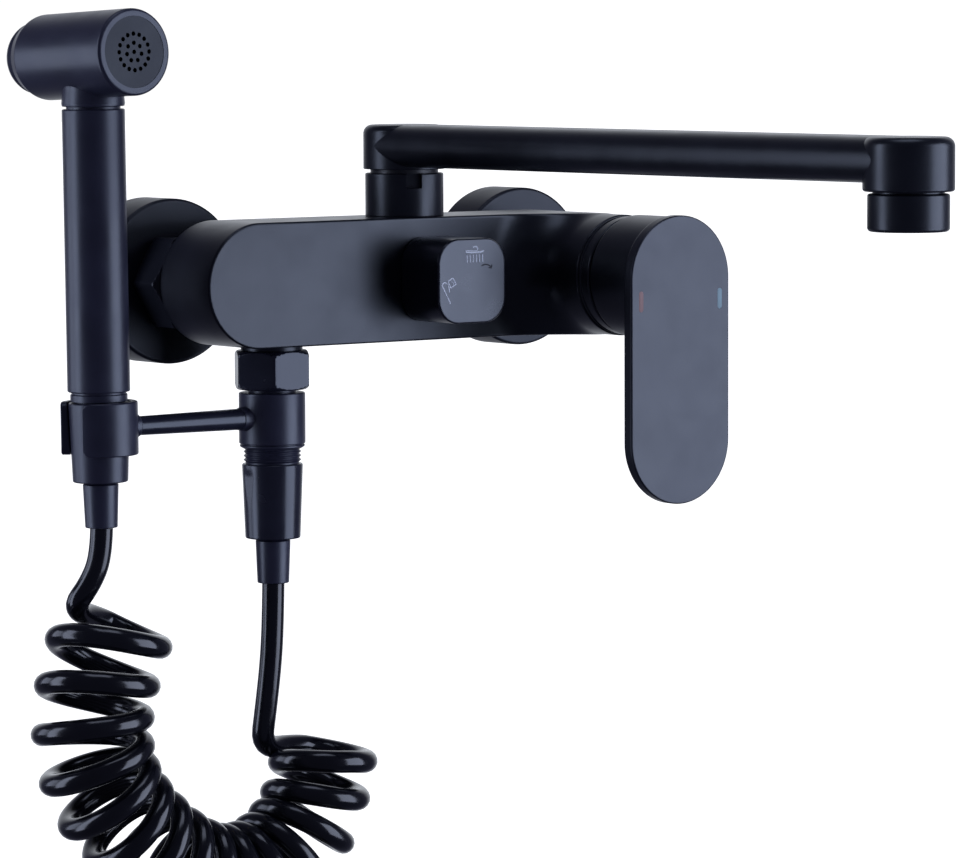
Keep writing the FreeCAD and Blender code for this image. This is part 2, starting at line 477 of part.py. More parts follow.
def holder():
    """The tee under the outlet, the arm and the open clip that the sprayer's nut stands in."""
    at = V(OUTLET_X, OUTLET_Y, 0)
    tee = turned([(4.0, -31.0), (9.3, -31.0), (9.3, -32.4), (8.0, -32.4), (8.0, TEE_TOP_Z), (TEE_R - 0.4, TEE_TOP_Z),
                  (TEE_R, TEE_TOP_Z - 0.4), (TEE_R, TEE_LOW_Z), (10.9, TEE_LOW_Z - 0.3), (10.9, -55.0), (10.4, -55.4),
                  (9.0, -56.1), (9.7, -56.8), (9.0, -57.5), (9.7, -58.2), (9.0, -58.9), (9.7, -59.6), (9.0, -60.3),
                  (9.0, -70.0), (4.0, -70.0)], at, Z)
    boss = Part.makeCone(7.4, 4.6, 5.2, V(OUTLET_X - 8.2, OUTLET_Y, ARM_Z), -X)
    bore = rod(at - Z * 72, Z, 4.0, 42)
    arm_end_x = SPRAYER_X + CLIP_R - 0.6
    arm = Part.makeCone(3.65, 3.15, OUTLET_X - 11.0 - arm_end_x, V(OUTLET_X - 11.0, OUTLET_Y, ARM_Z), -X)
    arm.rotate(V(OUTLET_X - 11.0, OUTLET_Y, ARM_Z), Z, math.degrees(math.atan2(SPRAYER_Y - OUTLET_Y, -50.0)) - 180.0)
    tee = one(tee.fuse(boss).cut([bore, arm]))
    clip_low, clip_high = -54.0, -36.4
    clip = turned([(9.75, clip_low), (CLIP_R - 0.3, clip_low), (CLIP_R, clip_low + 0.3), (CLIP_R, clip_high - 0.5),
                   (CLIP_R - 0.5, clip_high), (10.45, clip_high)], ORIGIN, Z)
    gap_half = 6.2
    gap = Part.makeBox(CLIP_R + 5, 2 * gap_half, 40, V(-CLIP_R - 5, -gap_half, -65))
    clip = clip.cut(gap)
    clip_boss = Part.makeCone(4.4, 3.9, 3.2, V(11.6, 0, ARM_Z), X)
    core = turned([(0, clip_low - 1), (9.75, clip_low - 1), (9.75, clip_low), (10.45, clip_high), (10.45, clip_high + 1),
                   (0, clip_high + 1)], ORIGIN, Z)
    corners = clip_corners(clip_low, clip_high, gap_half)
    clip = placed(clip.fuse(clip_boss).cut([core] + corners))
    clip = one(clip.cut(arm))
    return {"holder_tee": tee, "holder_arm": arm, "holder_clip": clip}


def clip_corners(low, high, gap_half):
    """Cutters that round the four corners of the clip's two jaws."""
    radius = 3.0
    cutters = []
    for z, up in ((low, 1), (high, -1)):
        for side in (-1, 1):
            y = side * gap_half
            block = Part.makeBox(14, radius, radius, V(-14, min(y, y + side * radius), min(z, z + up * radius)))
            arc = rod(V(-15, y + side * radius, z + up * radius), X, radius, 16)
            cutters.append(block.cut(arc))
    return cutters


# ---- hose ends ----
LOWER_NUT_TOP_Z, LOWER_NUT_LOW_Z = -60.8, -86.1
UPPER_NUT_TOP_Z, UPPER_NUT_LOW_Z = -36.7, -62.9
LOWER_FERRULE_LOW_Z, UPPER_FERRULE_LOW_Z = -101.3, -78.0


def cone_nut(top, low, r_top, r_low, depth, bore):
    """A long tapered hose nut on the Z axis, threaded inside from the top, with a small hole below."""
    return turned([(bore, top), (r_top - 0.5, top), (r_top, top - 0.5), (r_low, low + 0.4), (r_low - 0.4, low),
                   (5.3, low), (5.3, top - depth), (bore, top - depth)], ORIGIN, Z)


def hose_ferrule(top, low, seat_z, r_top, r_low):
    """The ferrule crimped on the hose: a flange inside the nut, and a tapered sleeve that shows below it."""
    return turned([(HOSE_R, low), (r_low - 0.3, low), (r_low, low + 0.3), (r_top, top - 0.2), (5.2, top + 0.4),
                   (5.2, seat_z), (7.8, seat_z), (7.8, seat_z + 1.5), (HOSE_R - 1.4, seat_z + 1.5),
                   (HOSE_R - 1.4, seat_z - 4.0), (HOSE_R, seat_z - 4.0)], ORIGIN, Z)


def lower_hose_end():
    """Nut, washer and ferrule below the tee."""
    at = V(OUTLET_X, OUTLET_Y, 0)
    nut = cone_nut(LOWER_NUT_TOP_Z, LOWER_NUT_LOW_Z, 10.3, 9.3, 12.0, 9.0 + 0.02)
    for side in (-1, 1):
        nut = nut.cut(Part.makeBox(4, 12, 22, V(side * 9.6 - (4 if side < 0 else 0), -6, LOWER_NUT_LOW_Z + 0.9)))
    washer = ring(-Z * 70.0, -Z, 8.4, 3.2, 1.3)
    ferrule = hose_ferrule(LOWER_NUT_LOW_Z - 1.0, LOWER_FERRULE_LOW_Z, -72.8, 5.9, 5.3)
    parts = {"lower_hose_nut": one(nut), "lower_hose_washer": washer, "lower_ferrule": ferrule}
    for shape in parts.values():
        shape.translate(at)
    return parts


def upper_hose_end():
    """Nut, washer and ferrule below the sprayer's grip."""
    nut = cone_nut(UPPER_NUT_TOP_Z, UPPER_NUT_LOW_Z, 10.1, 9.1, 13.0, 8.02)
    washer = ring(-Z * 46.9, -Z, 7.6, 3.2, 1.3)
    ferrule = hose_ferrule(UPPER_NUT_LOW_Z - 0.7, UPPER_FERRULE_LOW_Z, -49.7, 5.9, 5.3)
    return {"upper_hose_nut": placed(nut), "upper_hose_washer": placed(washer), "upper_ferrule": placed(ferrule)}


# ---- hand sprayer ----
def sprayer():
    """Grip, head, spray plate, button and spring, built upright and moved onto the sprayer's axis."""
    grip = turned([(3.5, -46.9), (8.0, -46.9), (8.0, -36.5), (9.3, -36.3), (9.3, -34.0), (GRIP_R - 0.4, -33.6),
                   (GRIP_R, -33.2), (GRIP_R, 59.0), (GRIP_R - 0.4, 59.4), (8.9, 59.4), (8.9, 60.2), (7.0, 60.2),
                   (7.0, -34.0), (3.5, -38.0)], ORIGIN, Z)
    ahead = FreeCAD.Rotation(Z, HEAD_YAW).multVec(FreeCAD.Rotation(X, -HEAD_PITCH).multVec(-Y))
    centre = V(0, 0, HEAD_Z)
    rim = [(HEAD_R - HEAD_RIM * (1 - math.cos(a)), HEAD_FRONT - HEAD_RIM * (1 - math.sin(a)))
           for a in (math.radians(15 * k) for k in range(7))]
    shell = turned([(0, -HEAD_BACK), (12.3, -HEAD_BACK), (HEAD_R, -HEAD_BACK + 3.4)] + rim + [(0, HEAD_FRONT)],
                   centre, ahead)
    neck = turned([(0, 60.3), (GRIP_R - 0.3, 60.3), (GRIP_R + 0.1, 60.7), (GRIP_R + 0.1, 62.5), (9.7, 68), (9.5, 78),
                   (0, 78)], ORIGIN, Z)
    head = shell.fuse(neck)
    cavity = turned([(0, -HEAD_BACK - 1), (11.9 + FIT, -HEAD_BACK - 1), (11.9 + FIT, -16), (5.0, -16), (5.0, -8),
                     (10.7, -8), (10.7, 20.0), (SPRAY_PLATE_R + 0.05, 20.0),
                     (SPRAY_PLATE_R + 0.05, HEAD_FRONT + 1), (0, HEAD_FRONT + 1)], centre, ahead)
    channel = rod(V(0, 0, 55), Z, 6.0, 14)
    head = one(head.cut([cavity, channel]))
    plate = rod(centre + ahead * 20.0, ahead, SPRAY_PLATE_R, HEAD_FRONT - 20.15)
    side = ahead.cross(Z).normalize()
    up = side.cross(ahead)
    holes = [(0.0, 0.0)]
    for radius, count in ((2.95, 7), (5.9, 16)):
        holes += [(radius * math.sin(2 * math.pi * k / count), radius * math.cos(2 * math.pi * k / count))
                  for k in range(count)]
    cutters = [rod(centre + ahead * 19 + side * a + up * b, ahead, 0.75, 6) for a, b in holes]
    plate = one(plate.cut(cutters))
    button = turned([(0, -BUTTON_BACK), (10.3, -BUTTON_BACK), (11.2, -BUTTON_BACK + 0.5), (11.9, -BUTTON_BACK + 1.8),
                     (11.9, -23.0), (10.0, -23.0), (10.0, -31.5), (2.5, -31.5), (2.5, -7.9), (6.5, -7.9), (6.5, -5.4),
                     (0, -5.4)], centre, ahead)
    spring = ring(centre - ahead * 30.9, ahead, 7.0, 5.6, 14.5)
    parts = {"sprayer_handle": grip, "sprayer_head": head, "spray_plate": plate, "spray_button": button,
             "button_spring": spring}
    return {name: placed(shape) for name, shape in parts.items()}


# ---- hose ----
def soft_path(points):
    """Straight runs through points joined by tangent arcs of 0.45 of the shorter run; prints the radii."""
    edges, here, radii = [], points[0], []
    for k in range(1, len(points) - 1):
        a, b, c = points[k - 1], points[k], points[k + 1]
        back, ahead = (a - b), (c - b)
        half_turn = (math.pi - back.getAngle(ahead)) / 2
        setback = 0.45 * min(back.Length, ahead.Length)
        radii.append(setback / math.tan(half_turn))
        p, q = b + back.normalize() * setback, b + ahead.normalize() * setback
        inward = (back + ahead).normalize()
        depth = radii[-1] / math.cos(half_turn) - radii[-1]
        edges.append(Part.LineSegment(here, p).toShape())
        edges.append(Part.Arc(p, b + inward * depth, q).toShape())
        here = q
    edges.append(Part.LineSegment(here, points[-1]).toShape())
    print("bend radii", [round(r, 1) for r in radii])
    return Part.Wire(edges)


def soft_tube(points, radius):
    """A round tube along the soft path through points."""
    path = soft_path(points)
    start = (points[1] - points[0]).normalize()
    disc = Part.Wire([Part.Circle(points[0], start, radius).toShape()])
    shell = path.makePipeShell([disc], True, True)
    print("tube volume", round(shell.Volume, 1), "section x length", round(math.pi * radius ** 2 * path.Length, 1))
    return shell


HOSE_Y = -47.0
COIL_SEAT_R = 16.3             # distance from the curly stretch's axis at which the tails join it
TAIL_SIDE = V(-0.793, 0.609, 0)   # side of the curly stretch where the tails join it
# axis of the curly stretch in the plane y = HOSE_Y, as (x, z), from the sprayer's side to the outlet's side
COIL_ROUTE = ((-119.6, -107.5), (-124.6, -121.5), (-127.7, -137.5), (-127.6, -154.5), (-123.3, -171.0),
              (-113.6, -185.3), (-99.4, -195.6), (-82.5, -200.6), (-65.0, -199.6), (-50.0, -191.0),
              (-41.0, -176.5), (-37.2, -160.0))
UPPER_TAIL = ((-124.3, -47.1, -78.2), (-124.7, -46.4, -84.8), (-126.4, -43.9, -91.4), (-129.0, -40.6, -97.4))
LOWER_TAIL = ((-55.1, -46.6, -101.3), (-54.9, -45.9, -115.0), (-54.5, -43.8, -128.5), (-54.0, -40.2, -141.5),
              (-52.6, -37.6, -151.0))


def coil_seat(end, inward):
    """The point on a face of the curly stretch where a tail joins it; inward points into the stretch."""
    side = (TAIL_SIDE - inward * TAIL_SIDE.dot(inward)).normalize()
    return end + side * COIL_SEAT_R


def hose():
    """The hose as plain solids: a thin tube for each tail and one fat tube for the curly stretch."""
    route = [V(x, HOSE_Y, z) for x, z in COIL_ROUTE]
    coil = soft_tube(route, COIL_R)
    tails = {}
    for name, points, end, following, gap in (("hose_tail_upper", UPPER_TAIL, route[0], route[1], 0.3),
                                              ("hose_tail_lower", LOWER_TAIL, route[-1], route[-2], 0.0)):
        inward = (following - end).normalize()
        points = [V(*p) for p in points]
        seat = coil_seat(end, inward)
        beyond = (seat - points[-1]).normalize() * (0.6 * HOSE_R)
        tail = soft_tube(points + [seat + beyond], HOSE_R)
        face = rod(end - inward * gap, inward, COIL_R + 5, 20.0)
        tails[name] = one(tail.cut(face))
    return dict(tails, hose_coil=coil)


def main():
    """Builds every sub-part and writes one STEP file for each."""
    os.makedirs("parts", exist_ok=True)
    nodes = {}
    for build in (wall_inlets, body, cartridge, lever, handle, diverter, spout_seat, spout_arm, hose_outlet, holder,
                  lower_hose_end, upper_hose_end, sprayer, hose):
        nodes.update(build())
    for name, shape in nodes.items():
        assert shape.isValid() and shape.Volume > 0, name
        shape.exportStep("parts/" + name + ".step")
    print(len(nodes), "nodes")


main()
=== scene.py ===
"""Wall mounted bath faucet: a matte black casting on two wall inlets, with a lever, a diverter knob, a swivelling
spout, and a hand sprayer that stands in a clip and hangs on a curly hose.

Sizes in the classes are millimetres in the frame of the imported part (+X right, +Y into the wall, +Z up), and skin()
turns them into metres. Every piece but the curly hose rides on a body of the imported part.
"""
import logging
import math
from collections.abc import Sequence
from dataclasses import dataclass, field
from enum import Enum
from functools import lru_cache

import bmesh
import bpy
import numpy as np
from mathutils import Matrix, Vector


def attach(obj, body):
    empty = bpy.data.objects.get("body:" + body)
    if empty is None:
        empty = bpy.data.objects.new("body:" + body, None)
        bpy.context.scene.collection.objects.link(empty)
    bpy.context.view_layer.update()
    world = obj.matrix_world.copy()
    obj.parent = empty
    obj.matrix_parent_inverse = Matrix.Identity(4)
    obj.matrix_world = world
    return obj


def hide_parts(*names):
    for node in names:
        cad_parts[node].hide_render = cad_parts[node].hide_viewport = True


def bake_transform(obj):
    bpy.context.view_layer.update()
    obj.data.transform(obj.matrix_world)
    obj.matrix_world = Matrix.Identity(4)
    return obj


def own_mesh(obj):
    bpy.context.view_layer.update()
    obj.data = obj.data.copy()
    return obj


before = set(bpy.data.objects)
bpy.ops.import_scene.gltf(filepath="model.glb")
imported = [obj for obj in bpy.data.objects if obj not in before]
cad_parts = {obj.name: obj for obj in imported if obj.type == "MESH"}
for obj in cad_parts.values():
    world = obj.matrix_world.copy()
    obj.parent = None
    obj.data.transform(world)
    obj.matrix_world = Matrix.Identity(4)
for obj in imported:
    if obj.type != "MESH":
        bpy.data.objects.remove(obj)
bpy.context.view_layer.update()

MM = 0.001
FULL = 2 * math.pi
X_AXIS, Y_AXIS, Z_AXIS = (np.eye(3)[k] for k in range(3))
LEVER_X, BOSS_FRONT = 64.4, -87.6
SPOUT_AXIS = (1.0, -46.4)
OUTLET_AXIS = (-55.1, -46.6)
LOG = logging.getLogger("faucet")

Array = np.ndarray
Thing = bpy.types.Object
Colour = tuple[float, float, float]
Pattern = tuple[float, float]


class Body(str, Enum):
    """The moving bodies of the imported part."""

    FAUCET = "faucet"
    HANDLE = "handle"
    DIVERTER = "diverter"
    SPOUT = "spout"
    HOLDER = "holder"
    SPRAYER = "sprayer"
    BUTTON = "button"


class Slot(str, Enum):
    """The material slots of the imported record."""

    COAT = "black_coat"
    BRASS = "brass"
    SEAL = "seal"
    CERAMIC = "ceramic"
    WHITE_PLASTIC = "white_plastic"
    BLACK_PLASTIC = "black_plastic"
    STEEL = "steel"
    HOSE = "hose"
    HOT = "hot_mark"
    COLD = "cold_mark"
    ICON = "icon_print"


class Side(Enum):
    """The two wall inlets, by the sign of their place along X."""

    LEFT = -1
    RIGHT = 1


# ---- shapes as arrays ----
@dataclass
class Patch:
    """A grid of points, rows x columns x 3, in millimetres. ring closes the columns on themselves, loop the rows."""

    points: Array
    ring: bool = True
    loop: bool = False


def unit(vector: Sequence[float]) -> Array:
    """The vector divided by its length."""
    vector = np.asarray(vector, float)
    return vector / np.linalg.norm(vector)


def square_to(axis: Array) -> tuple[Array, Array]:
    """Two unit vectors square to an axis and to each other.

    The first is Z cross axis, or X where the axis is upright; the second is axis cross first.

    Args:
        axis: a unit vector.

    Returns:
        The two unit vectors.
    """
    first = X_AXIS if abs(axis[2]) > 0.99 else unit(np.cross(Z_AXIS, axis))
    second = unit(np.cross(axis, first))
    return unit(np.cross(second, axis)), second


def even_turns(count: int, start: float = 0.0) -> Array:
    """count angles spread evenly over a full turn from start."""
    return start + FULL * np.arange(count) / count


def about_axis(base: Sequence[float], axis: Sequence[float], turns: Array, radii: Array, heights: Array) -> Array:
    """Points round an axis: base + height * axis + radius * (cos turn * first + sin turn * second).

    Args:
        base: the point on the axis that heights are measured from.
        axis: the direction of the axis.
        turns: the angles of the columns.
        radii: one radius a row, or one for each row and column.
        heights: one height a row, or one for each row and column.

    Returns:
        A grid of points, rows x columns x 3.
    """
    axis = unit(axis)
    first, second = square_to(axis)
    radii, heights = (np.asarray(a, float) for a in (radii, heights))
    radii = radii[:, None] if radii.ndim == 1 else radii
    heights = heights[:, None] if heights.ndim == 1 else heights
    radii, heights = np.broadcast_arrays(radii + 0 * turns, heights + 0 * turns)
    outward = np.cos(turns)[:, None] * first + np.sin(turns)[:, None] * second
    return np.asarray(base, float) + heights[..., None] * axis + radii[..., None] * outward


def soft_corner(before: Array, corner: Array, after: Array, radius: float, steps: int, guard: float) -> Array:
    """An arc tangent to both sides of a corner, with a point on each side just outside the arc.

    The arc starts radius / tan(half the corner's angle) from the corner, at most 0.45 of the shorter side, and its
    points are centre + radius * (cos a * towards corner + sin a * across) for a over the turn.

    Args:
        before: the point before the corner.
        corner: the corner.
        after: the point after it.
        radius: radius of the arc.
        steps: number of parts that the arc has.
        guard: distance of the outside points from the arc.

    Returns:
        The points in order, one a row.
    """
    back, ahead = before - corner, after - corner
    room = 0.45 * min(np.linalg.norm(back), np.linalg.norm(ahead))
    back, ahead = unit(back), unit(ahead)
    half = math.acos(float(np.clip(back @ ahead, -1, 1))) / 2
    if half > math.pi / 2 - 0.01:
        return corner[None]
    setback = min(radius / math.tan(half), room)
    radius = setback * math.tan(half)
    inward = unit(back + ahead)
    across = unit(ahead - back)
    centre = corner + inward * radius / math.sin(half)
    sweep = math.pi / 2 - half
    angles = np.linspace(-sweep, sweep, steps + 1)[:, None]
    arc = centre + radius * (-np.cos(angles) * inward + np.sin(angles) * across)
    outer = min(guard, 0.1 * room)
    return np.vstack([corner + back * (setback + outer), arc, corner + ahead * (setback + outer)])


def outline(corners: Sequence[tuple[float, ...]], closed: bool = False, steps: int = 4, guard: float = 0.3) -> Array:
    """A line through corners (a, b) or (a, b, radius), with each corner that has a radius rounded by an arc.

    Args:
        corners: the corners in order.
        closed: whether the last corner joins the first.
        steps: number of parts of each arc.
        guard: distance of the points that hold the flat next to an arc.

    Returns:
        The points of the line, one a row.
    """
    spots = [np.array(c[:2], float) for c in corners]
    radii = [c[2] if len(c) > 2 else 0.0 for c in corners]
    count, pieces = len(spots), []
    for k, (spot, radius) in enumerate(zip(spots, radii)):
        inner = closed or 0 < k < count - 1
        if radius > 0 and inner:
            pieces.append(soft_corner(spots[k - 1], spot, spots[(k + 1) % count], radius, steps, guard))
        else:
            pieces.append(spot[None])
    return np.vstack(pieces)


def turned(corners: Sequence[tuple[float, ...]], base: Sequence[float], axis: Sequence[float], sides: int = 96,
           closed: bool = False, steps: int = 4) -> Patch:
    """A turned piece: the outline of corners (radius, height, rounding) carried round an axis.

    Args:
        corners: the profile; one that isn't closed starts and ends on the axis.
        base: the point that heights are measured from.
        axis: the direction of the axis.
        sides: number of columns.
        closed: whether the profile is a loop, as for a ring.
        steps: number of parts of each rounding.

    Returns:
        The patch.
    """
    line = outline(corners, closed, steps)
    return Patch(about_axis(base, axis, even_turns(sides), line[:, 0], line[:, 1]), loop=closed)


def soft_least(values: Array, blend: float, axis: int) -> Array:
    """A smooth least value: -blend * log(sum(exp(-value / blend))) along an axis of the array.

    Args:
        values: the values.
        blend: how far two near values blend.
        axis: the axis that is compared.

    Returns:
        The least values.
    """
    low = values.min(axis=axis, keepdims=True)
    total = np.exp(-(values - low) / blend).sum(axis=axis, keepdims=True)
    return np.squeeze(low - blend * np.log(total), axis=axis)


def layered(centres: Array, normals: Array, radius: float, layers: Array, middle: Sequence[float]) -> Array:
    """A plate whose outline is arcs round corner centres: point = middle + size * (centre + (radius - inset) * normal
    - middle) in X and Z, at the layer's own Y.

    Args:
        centres: the arc centre of each column, as (x, z).
        normals: the outward direction of each column, as (x, z).
        radius: the arcs' radius.
        layers: rows of (inset, size, y).
        middle: the point (x, z) that a layer shrinks to.

    Returns:
        A grid of points, layers x columns x 3.
    """
    inset, size, depth = (layers[:, k][:, None, None] for k in range(3))
    middle = np.asarray(middle, float)
    flat = middle + size * (centres + (radius - inset) * normals - middle)
    depth = np.broadcast_to(depth, (*flat.shape[:2], 1))
    return np.concatenate([flat[..., :1], depth, flat[..., 1:]], axis=-1)


def arcs_round(corners: Sequence[tuple[float, float, float]], sweep: float, steps: int) -> tuple[Array, Array]:
    """Centres and normals for layered(): each corner (x, z, middle angle) has an arc of sweep round it.

    Args:
        corners: arc centre and the direction of the arc's middle, in order round the outline.
        sweep: the angle of each arc.
        steps: number of parts of each arc.

    Returns:
        The arc centre of each column and its outward direction.
    """
    corners = np.asarray(corners, float)
    angles = (corners[:, 2:] + np.linspace(-sweep / 2, sweep / 2, steps + 1)).ravel()
    centres = np.repeat(corners[:, :2], steps + 1, axis=0)
    return centres, np.stack([np.cos(angles), np.sin(angles)], axis=-1)


def capped(grid: Array, first: Array, last: Array) -> Patch:
    """A grid closed by a pole before its first row and one after its last."""
    before, after = (np.broadcast_to(pole, grid[:1].shape) for pole in (first, last))
    return Patch(np.concatenate([before, grid, after]))


def lengths_of_one(vectors: Array) -> Array:
    """Each row divided by its length."""
    return vectors / np.linalg.norm(vectors, axis=1, keepdims=True)


def directions(line: Array) -> Array:
    """Unit directions along a line, from the difference of each point's neighbours."""
    return lengths_of_one(np.gradient(line, axis=0))


def swept(line: Array, radius: float, sides: int) -> Patch:
    """A round rod along a line, closed at both ends: line + radius * (cos turn * side + sin turn * up).

    Side and up are carried along the line so that they turn as little as it does.

    Args:
        line: the points of the centreline.
        radius: radius of the rod.
        sides: number of columns.

    Returns:
        The patch.
    """
    ahead = directions(line)
    side = carried_side(ahead)
    up = np.cross(ahead, side)
    turns = even_turns(sides)[None, :, None]
    return capped(line[:, None] + radius * (np.cos(turns) * side[:, None] + np.sin(turns) * up[:, None]),
                  line[0], line[-1])


def carried_side(ahead: Array) -> Array:
    """A side vector at each point of a line, carried along it by the least turn.

    Each step takes the last side vector and removes its part along the new direction.

    Args:
        ahead: unit directions of the line.

    Returns:
        Unit vectors square to them.
    """
    side = np.empty_like(ahead)
    here = square_to(ahead[0])[0]
    for k, direction in enumerate(ahead):
        here = unit(here - direction * (here @ direction))
        side[k] = here
    return side


def moved(points: Array, turn: float, axis: Sequence[float], about: Sequence[float]) -> Array:
    """Points turned by an angle in degrees round an axis through the point about."""
    spin = np.array(Matrix.Rotation(math.radians(turn), 3, Vector(axis)))
    return (points - np.asarray(about)) @ spin.T + np.asarray(about)


# ---- from arrays to objects ----
def skin(name: str, patches: Sequence[Patch], material: bpy.types.Material, sharp: float = 36.0) -> Thing:
    """One object from patches: doubles merged, faces outwards, smooth but for edges sharper than an angle.

    Args:
        name: the object's name.
        patches: its surfaces, each a closed shell.
        material: its finish.
        sharp: degrees between two faces past which their edge stays sharp.

    Returns:
        The new object, at the origin.
    """
    points, quads, start = [], [], 0
    for patch in patches:
        rows, columns = patch.points.shape[:2]
        index = start + np.arange(rows * columns).reshape(rows, columns)
        index = np.concatenate([index, index[:, :1]], axis=1) if patch.ring else index
        index = np.concatenate([index, index[:1]], axis=0) if patch.loop else index
        corners = (index[:-1, :-1], index[:-1, 1:], index[1:, 1:], index[1:, :-1])
        quads.append(np.stack(corners, axis=-1).reshape(-1, 4))
        points.append(patch.points.reshape(-1, 3))
        start += rows * columns
    mesh = bpy.data.meshes.new(name)
    mesh.from_pydata(np.concatenate(points) * MM, [], np.concatenate(quads).tolist())
    tidy = bmesh.new()
    tidy.from_mesh(mesh)
    bmesh.ops.remove_doubles(tidy, verts=tidy.verts, dist=2e-7)
    bmesh.ops.dissolve_degenerate(tidy, edges=tidy.edges, dist=1e-8)
    bmesh.ops.recalc_face_normals(tidy, faces=tidy.faces)
    tidy.to_mesh(mesh)
    tidy.free()
    mesh.shade_smooth()
    mesh.set_sharp_from_angle(angle=math.radians(sharp))
    mesh.materials.append(material)
    piece = bpy.data.objects.new(name, mesh)
    bpy.context.scene.collection.objects.link(piece)
    return piece


# ---- finishes ----
def feed(tree: bpy.types.NodeTree, node: bpy.types.Node, **inputs: object) -> bpy.types.Node:
    """Sets or links inputs of a node.

    Args:
        tree: the node's tree.
        node: the node.
        inputs: a value, or another node's socket, for each input; an underscore in a name stands for a space.

    Returns:
        The node.
    """
    for name, value in inputs.items():
        socket = node.inputs[name.replace("_", " ")]
        if isinstance(value, bpy.types.NodeSocket):
            tree.links.new(value, socket)
        else:
            socket.default_value = (*value, 1.0) if socket.type == "RGBA" else value
    return node


def colour_ramp(tree: bpy.types.NodeTree, value: bpy.types.NodeSocket,
                stops: Sequence[tuple[float, Colour]]) -> bpy.types.NodeSocket:
    """Spreads a value over colours.

    Args:
        tree: the node tree.
        value: the value.
        stops: places from 0 to 1 in order, and the colour at each.

    Returns:
        The colour.
    """
    ramp = feed(tree, tree.nodes.new("ShaderNodeValToRGB"), Fac=value)
    elements = ramp.color_ramp.elements
    elements[0].position, elements[1].position = stops[0][0], stops[-1][0]
    for place, _ in stops[1:-1]:
        elements.new(place)
    for element, (_, colour) in zip(elements, stops):
        element.color = (*colour, 1.0)
    return ramp.outputs["Color"]


class Recipe:
    """Lays out the nodes of one material round its Principled shader; its patterns read Object coordinates."""

    middle: tuple[float, float] = (0.3, 0.7)

    def __init__(self, name: str) -> None:
        """Starts a material.

        Args:
            name: the material's name.
        """
        self.material = bpy.data.materials.new(name)
        self.material.use_nodes = True
        self.tree = self.material.node_tree
        self.shader = self.tree.nodes["Principled BSDF"]
        self.place = self.tree.nodes.new("ShaderNodeTexCoord").outputs["Object"]

    def node(self, kind: str, **inputs: object) -> bpy.types.Node:
        """Adds a node of a kind with its inputs."""
        return feed(self.tree, self.tree.nodes.new(f"ShaderNode{kind}"), **inputs)

    def set(self, **inputs: object) -> None:
        """Sets or links sockets of the shader."""
        feed(self.tree, self.shader, **inputs)

    def noise(self, pattern: Pattern, stretch: Sequence[float] = (1, 1, 1)) -> bpy.types.NodeSocket:
        """A noise pattern.

        Args:
            pattern: waves per metre and octaves.
            stretch: scale along each axis.

        Returns:
            The pattern's value.
        """
        mapping = self.node("Mapping", Vector=self.place, Scale=stretch)
        return self.node("TexNoise", Vector=mapping.outputs[0], Scale=pattern[0], Detail=pattern[1]).outputs["Fac"]

    def tint(self, value: bpy.types.NodeSocket, *colours: Colour) -> None:
        """Colours the surface from a dark to a light colour over the middle of a pattern's range."""
        self.set(Base_Color=colour_ramp(self.tree, value, list(zip(self.middle, colours))))

    def rough(self, value: bpy.types.NodeSocket, *ends: float) -> None:
        """Varies the roughness between two ends over the middle of a pattern's range.

        Args:
            value: the pattern.
            ends: roughness where it is low and where it is high.
        """
        names = ("From_Min", "From_Max", "To_Min", "To_Max")
        spread = self.node("MapRange", Value=value, **dict(zip(names, (*self.middle, *ends))))
        self.set(Roughness=spread.outputs["Result"])

    def relief(self, value: bpy.types.NodeSocket, strength: float, depth: float) -> None:
        """Raises the surface by a pattern: a share, strength, of a full height, depth, in metres."""
        self.set(Normal=self.node("Bump", Height=value, Strength=strength, Distance=depth).outputs["Normal"])


@dataclass(frozen=True)
class Finish:
    """A finish whose tone, roughness and relief each follow a noise of their own."""

    name: str
    colour: Colour
    roughness: float
    slot: Slot
    ior: float = 1.5
    metallic: float = 0.0
    specular_tint: Colour = (1.0, 1.0, 1.0)
    lift: float = 0.2
    spread: tuple[float, float] = (-0.05, 0.05)
    tone: Pattern = (200.0, 3.0)
    wear: Pattern = (400.0, 3.0)
    grain: Pattern = (900.0, 2.0)
    strength: float = 0.3
    depth: float = 0.00002
    lay: tuple[float, float, float] = (1.0, 1.0, 1.0)

    @lru_cache
    def make(self) -> bpy.types.Material:
        """Lays out the finish's material, once.

        Returns:
            The material.
        """
        recipe = Recipe(self.name)
        recipe.set(IOR=self.ior, Metallic=self.metallic, Specular_Tint=self.specular_tint)
        recipe.tint(recipe.noise(self.tone), self.colour, tuple(c * (1 + self.lift) for c in self.colour))
        recipe.rough(recipe.noise(self.wear, self.lay), *(self.roughness + change for change in self.spread))
        recipe.relief(recipe.noise(self.grain, self.lay), self.strength, self.depth)
        return recipe.material


@dataclass(frozen=True)
class PowderCoat(Finish):
    """Matte black powder coat: a fine, even grain over a near-black blue base, with a low sheen."""

    slot: Slot = Slot.COAT
    specular_tint: Colour = (0.88, 0.93, 1.0)
    lift: float = 0.55
    spread: tuple[float, float] = (-0.035, 0.035)
    tone: Pattern = (45.0, 3.0)
    wear: Pattern = (90.0, 4.0)
    grain: Pattern = (1500.0, 2.0)
    strength: float = 0.35
    depth: float = 0.000018


@dataclass(frozen=True)
class Metal(Finish):
    """Bare machined metal: fine marks along one way and a slight change of tone."""

    metallic: float = 1.0
    lift: float = 0.12
    spread: tuple[float, float] = (-0.06, 0.08)
    tone: Pattern = (120.0, 3.0)
    wear: Pattern = (700.0, 4.0)
    grain: Pattern = (700.0, 4.0)
    strength: float = 0.2
    lay: tuple[float, float, float] = (1.0, 1.0, 9.0)


@dataclass(frozen=True)
class Moulded(Finish):
    """Plastic, rubber, ceramic or paint: a base with soft mottling and a fine texture."""

    slot: Slot = Slot.BLACK_PLASTIC
    ior: float = 1.48


